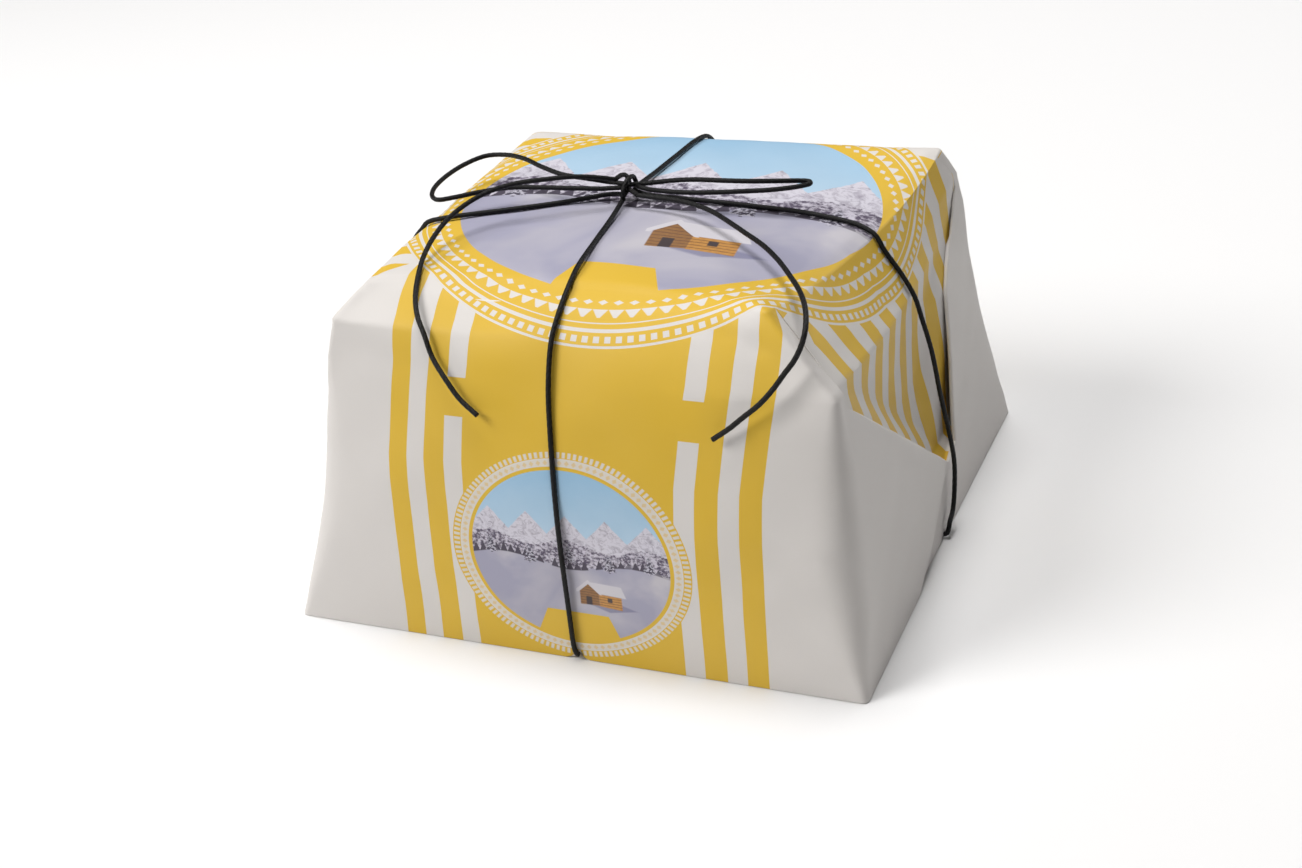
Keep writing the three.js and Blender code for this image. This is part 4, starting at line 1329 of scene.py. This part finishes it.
def crust_material():
    shader = Shader("baked_crust")
    place = shader.object_place()
    parts = shader.node("ShaderNodeSeparateXYZ", None, {0: place}).outputs
    height = Value(shader, parts[2]) / MM
    blotch = shader.noise(place, 34.0, 5.0, 0.6)
    pores = shader.noise(place, 420.0, 4.0, 0.7)
    bake = ((height - 70.0) / 48.0 + (blotch - 0.5) * 0.8).clamped()
    color = shader.mix(bake, (0.62, 0.33, 0.12), (0.20, 0.075, 0.022))
    color = shader.mix(((pores - 0.58) * 6.0).clamped(), color, (0.09, 0.03, 0.012))
    shader.set(Base_Color=color, Roughness=0.62 + (pores - 0.5) * 0.3)
    shader.set(Normal=shader.bump(pores * 0.6 + blotch, 0.0008, 0.8))
    return shader.material


def loaf_piece():
    low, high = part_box("panettone")
    base = low[2] / MM
    waist = high[0] / MM - 0.3
    profile = [(0, base), (waist - 1.5, base), (waist, 76), (waist, 82), (91.6, 90), (83.6, 101),
               (69.6, 110), (49.6, 116.4), (25.8, 119.9), (0, 120.6)]

    def crusted(r, z, angle):
        rough = math.sin(9 * angle + z * 0.31) * math.sin(13 * angle - z * 0.17)
        x, y = r * math.cos(angle), r * math.sin(angle)
        score = min(abs(x + y), abs(x - y)) / math.sqrt(2)
        slit = -2.6 * max(0.0, 1 - score / 4.5) ** 1.3 if z > 100 else 0.0
        lip = 0.0 if z < 84 else -0.7 + 0.6 * rough
        return max(0.1, r + (0.0 if z < 84 else -0.4 + 0.4 * rough)), z + lip + slit

    piece = turned_mesh("loaf", finer(profile, 2.4), 160, crust_material(), crusted)
    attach(piece, "root")
    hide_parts("panettone")


def case_material():
    shader = Shader("brown_baking_paper")
    place = shader.object_place()
    fibre = shader.noise(place, 520.0, 4.0, 0.65)
    grease = shader.noise(place, 22.0, 3.0, 0.6)
    color = shader.mix(fibre, (0.21, 0.105, 0.045), (0.12, 0.055, 0.024))
    color = shader.mix(((grease - 0.5) * 3.0).clamped() * 0.5, color, (0.065, 0.03, 0.014))
    shader.set(Base_Color=color, Roughness=0.7 - ((grease - 0.5) * 3.0).clamped() * 0.25)
    shader.set(Normal=shader.bump(fibre, 0.00012, 0.7))
    return shader.material


def pleats_tree():
    """A ring of upright pleats: one flat panel, placed round a circle and turned alternately."""
    tree = bpy.data.node_groups.new("case_pleats", "GeometryNodeTree")
    face = tree.interface
    face.new_socket("Geometry", in_out="INPUT", socket_type="NodeSocketGeometry")
    sizes = (
        ("Radius", 0.0947), ("Pleat width", 0.0032), ("Wall", 0.00035), ("Height", 0.06),
        ("Base height", 0.014), ("Turn", 0.62),
    )
    for name, default in sizes:
        face.new_socket(name, in_out="INPUT", socket_type="NodeSocketFloat").default_value = default
    face.new_socket("Panels", in_out="INPUT", socket_type="NodeSocketInt").default_value = 220
    face.new_socket("Material", in_out="INPUT", socket_type="NodeSocketMaterial")
    face.new_socket("Geometry", in_out="OUTPUT", socket_type="NodeSocketGeometry")
    nodes, link = tree.nodes, tree.links.new
    given = nodes.new("NodeGroupInput").outputs
    result = nodes.new("NodeGroupOutput")
    ring = nodes.new("GeometryNodeMeshCircle")
    link(given["Panels"], ring.inputs["Vertices"])
    link(given["Radius"], ring.inputs["Radius"])
    panel = nodes.new("GeometryNodeMeshCube")
    size = nodes.new("ShaderNodeCombineXYZ")
    link(given["Wall"], size.inputs[0])
    link(given["Pleat width"], size.inputs[1])
    link(given["Height"], size.inputs[2])
    link(size.outputs[0], panel.inputs["Size"])
    index = nodes.new("GeometryNodeInputIndex")
    angle = nodes.new("ShaderNodeMath")
    angle.operation = "DIVIDE"
    link(index.outputs[0], angle.inputs[0])
    link(given["Panels"], angle.inputs[1])
    full = nodes.new("ShaderNodeMath")
    full.operation = "MULTIPLY"
    link(angle.outputs[0], full.inputs[0])
    full.inputs[1].default_value = 2 * math.pi
    parity = nodes.new("ShaderNodeMath")
    parity.operation = "MODULO"
    link(index.outputs[0], parity.inputs[0])
    parity.inputs[1].default_value = 2
    swing = nodes.new("ShaderNodeMath")
    swing.operation = "MULTIPLY_ADD"
    link(parity.outputs[0], swing.inputs[0])
    swing.inputs[1].default_value = 2
    swing.inputs[2].default_value = -1
    lean = nodes.new("ShaderNodeMath")
    lean.operation = "MULTIPLY"
    link(swing.outputs[0], lean.inputs[0])
    link(given["Turn"], lean.inputs[1])
    total = nodes.new("ShaderNodeMath")
    total.operation = "ADD"
    link(full.outputs[0], total.inputs[0])
    link(lean.outputs[0], total.inputs[1])
    turn = nodes.new("ShaderNodeCombineXYZ")
    link(total.outputs[0], turn.inputs[2])
    place = nodes.new("GeometryNodeInstanceOnPoints")
    link(ring.outputs[0], place.inputs["Points"])
    link(panel.outputs[0], place.inputs["Instance"])
    link(turn.outputs[0], place.inputs["Rotation"])
    lift = nodes.new("ShaderNodeMath")
    lift.operation = "MULTIPLY_ADD"
    link(given["Height"], lift.inputs[0])
    lift.inputs[1].default_value = 0.5
    link(given["Base height"], lift.inputs[2])
    move = nodes.new("ShaderNodeCombineXYZ")
    link(lift.outputs[0], move.inputs[2])
    raised = nodes.new("GeometryNodeTransform")
    link(place.outputs[0], raised.inputs["Geometry"])
    link(move.outputs[0], raised.inputs["Translation"])
    real = nodes.new("GeometryNodeRealizeInstances")
    link(raised.outputs[0], real.inputs[0])
    paint = nodes.new("GeometryNodeSetMaterial")
    link(real.outputs[0], paint.inputs["Geometry"])
    link(given["Material"], paint.inputs["Material"])
    link(paint.outputs[0], result.inputs[0])
    return tree


def made_by_nodes(name, tree, values):
    """The plain mesh that a Geometry Nodes tree makes with the given named inputs."""
    holder = mesh_object(name + "_seed", [], [])
    modifier = holder.modifiers.new("nodes", "NODES")
    modifier.node_group = tree
    for item in tree.interface.items_tree:
        if item.in_out == "INPUT" and item.name in values:
            modifier[item.identifier] = values[item.name]
    holder.update_tag()
    shown = holder.evaluated_get(bpy.context.evaluated_depsgraph_get())
    mesh = bpy.data.meshes.new_from_object(shown)
    holder.modifiers.remove(modifier)
    bpy.data.objects.remove(holder)
    piece = bpy.data.objects.new(name, mesh)
    bpy.context.scene.collection.objects.link(piece)
    return piece


def case_piece():
    low, high = ([side / MM for side in corner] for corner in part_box("baking_case"))
    material = case_material()
    values = {
        "Radius": (high[0] - 0.9) * MM,
        "Pleat width": 3.1 * MM,
        "Wall": 0.3 * MM,
        "Height": (high[2] - low[2] - 0.4) * MM,
        "Base height": (low[2] + 0.2) * MM,
        "Turn": 0.4,
        "Panels": 220,
        "Material": material,
    }
    piece = made_by_nodes("pleated_baking_case", pleats_tree(), values)
    foot = high[0] - 1.6
    disc = turned_mesh(
        "case_floor",
        [
            (0, low[2]), (foot - 0.4, low[2]), (foot, low[2] + 0.4),
            (foot - 0.4, low[2] + 0.75), (0, low[2] + 0.75),
        ],
        110,
        material,
    )
    whole = bmesh.new()
    whole.from_mesh(piece.data)
    whole.from_mesh(disc.data)
    whole.to_mesh(piece.data)
    whole.free()
    bpy.data.objects.remove(disc)
    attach(piece, "root")
    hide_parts("baking_case")


def film_material():
    shader = Shader("clear_film")
    place = shader.object_place()
    crinkle = shader.noise(place, 60.0, 4.0, 0.6, 1.2)
    color = shader.mix(crinkle, (0.93, 0.95, 0.96), (0.99, 0.99, 0.99))
    shader.set(Base_Color=color, Roughness=0.08 + crinkle * 0.1, Alpha=0.14 + crinkle * 0.2)
    shader.set(Normal=shader.bump(crinkle, 0.0012, 0.9))
    shader.finish.inputs["Specular IOR Level"].default_value = 0.6
    return shader.material


def bag_piece():
    low, high = ([side / MM for side in corner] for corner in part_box("clear_bag"))
    wide, mouth = high[0], high[2]
    outer = [(wide - 1.2, low[2]), (wide - 0.3, 76), (wide - 2.2, 90), (87.6, 103), (71.6, 113.5),
             (49.6, 120), (25.8, 123.5), (8, 125.5), (4.6, 128), (6, mouth)]
    inner = [(r - 0.35, z - (0.2 if z < mouth else 0)) for r, z in outer][::-1]
    inner[-1] = (inner[-1][0], low[2] + 0.35)
    path = finer([(0, low[2]), *outer], 3.0) + finer([*inner, (0, low[2] + 0.35)], 3.0)

    def gathered(r, z, angle):
        pull = smoothstep(98, 126, z)
        ripple = math.sin(22 * angle) * 0.5 + math.sin(37 * angle + 1.3) * 0.3
        return max(0.2, r + pull * ripple * min(0.7, r * 0.06) - 0.3), z + pull * 0.3 * ripple

    piece = turned_mesh("clear_film_bag", path, 150, film_material(), gathered)
    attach(piece, "root")
    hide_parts("clear_bag")


def foil_material():
    shader = Shader("gold_tie_foil")
    scratch = shader.noise(shader.object_place(), 800.0, 3.0)
    color = shader.mix(scratch, (0.72, 0.52, 0.20), (0.55, 0.37, 0.12))
    shader.set(Base_Color=color, Roughness=0.22 + scratch * 0.2)
    shader.set(Normal=shader.bump(scratch, 0.0001, 0.6))
    shader.finish.inputs["Metallic"].default_value = 1.0
    return shader.material


def tie_piece():
    low, high = ([side / MM for side in corner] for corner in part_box("bag_tie"))
    middle = (low[2] + high[2]) / 2
    radius = high[0] - 0.95
    around, section = 96, 12
    points = []
    for i in range(around):
        angle = 2 * math.pi * i / around
        for k in range(section):
            turn = 2 * math.pi * k / section
            flat = 0.82 * (0.72 + 0.28 * math.cos(2 * turn - 9 * angle))
            r = radius + flat * math.cos(turn)
            points.append((r * math.cos(angle), r * math.sin(angle), middle + flat * math.sin(turn)))
    faces = []
    for i in range(around):
        for k in range(section):
            a, b = i * section + k, i * section + (k + 1) % section
            c, d = ((i + 1) % around) * section + (k + 1) % section, ((i + 1) % around) * section + k
            faces.append((a, d, c, b))
    piece = mesh_object("twisted_bag_tie", points, faces, foil_material())
    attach(piece, "root")
    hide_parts("bag_tie")


card_piece()
loaf_piece()
case_piece()
bag_piece()
tie_piece()


# ---- Floor and light ----------------------------------------------------------------------------
def soft_light(name, place, target, size, power, color):
    data = bpy.data.lights.new(name, "AREA")
    data.shape = "DISK"
    data.size = size
    data.energy = power
    data.color = color
    lamp = bpy.data.objects.new(name, data)
    lamp.location = place
    lamp.rotation_mode = "QUATERNION"
    lamp.rotation_quaternion = (Vector(target) - Vector(place)).to_track_quat("-Z", "Y")
    bpy.context.scene.collection.objects.link(lamp)


FLOOR_RADIUS = 2600.0
FLOOR_SIDES = 120


def floor_and_light():
    shader = Shader("pale_floor")
    shader.finish.inputs["Base Color"].default_value = (0.865, 0.865, 0.87, 1)
    shader.finish.inputs["Roughness"].default_value = 0.9
    shader.finish.inputs["Specular IOR Level"].default_value = 0.1
    turns = [2 * math.pi * i / FLOOR_SIDES for i in range(FLOOR_SIDES)]
    rim = [(FLOOR_RADIUS * math.cos(turn), FLOOR_RADIUS * math.sin(turn), 0) for turn in turns]
    floor = mesh_object("floor", rim, [tuple(range(FLOOR_SIDES))], shader.material, smooth=False)
    # a dim room for the light, with a pale backdrop behind the floor
    world = bpy.data.worlds.new("soft_room")
    world.use_nodes = True
    nodes = world.node_tree.nodes
    room = nodes["Background"]
    room.inputs[0].default_value = (1.0, 0.99, 0.98, 1)
    room.inputs[1].default_value = 0.01
    backdrop = nodes.new("ShaderNodeBackground")
    backdrop.inputs[1].default_value = 0.8
    seen = nodes.new("ShaderNodeLightPath")
    both = nodes.new("ShaderNodeMixShader")
    links = world.node_tree.links
    links.new(seen.outputs["Is Camera Ray"], both.inputs[0])
    links.new(room.outputs[0], both.inputs[1])
    links.new(backdrop.outputs[0], both.inputs[2])
    links.new(both.outputs[0], nodes["World Output"].inputs[0])
    bpy.context.scene.world = world
    soft_light("key", (-2.7, -2.1, 2.85), (0, 0, 0.06), 2.4, 138, (1.0, 0.99, 0.975))
    soft_light("top", (-0.25, 0.5, 3.3), (0, 0, 0.06), 1.7, 86, (1.0, 0.99, 0.98))
    soft_light("back", (1.1, 2.6, 1.3), (0, 0, 0.06), 1.2, 11, (1.0, 0.99, 0.98))
    bpy.context.scene.view_settings.view_transform = "Standard"


floor_and_light()
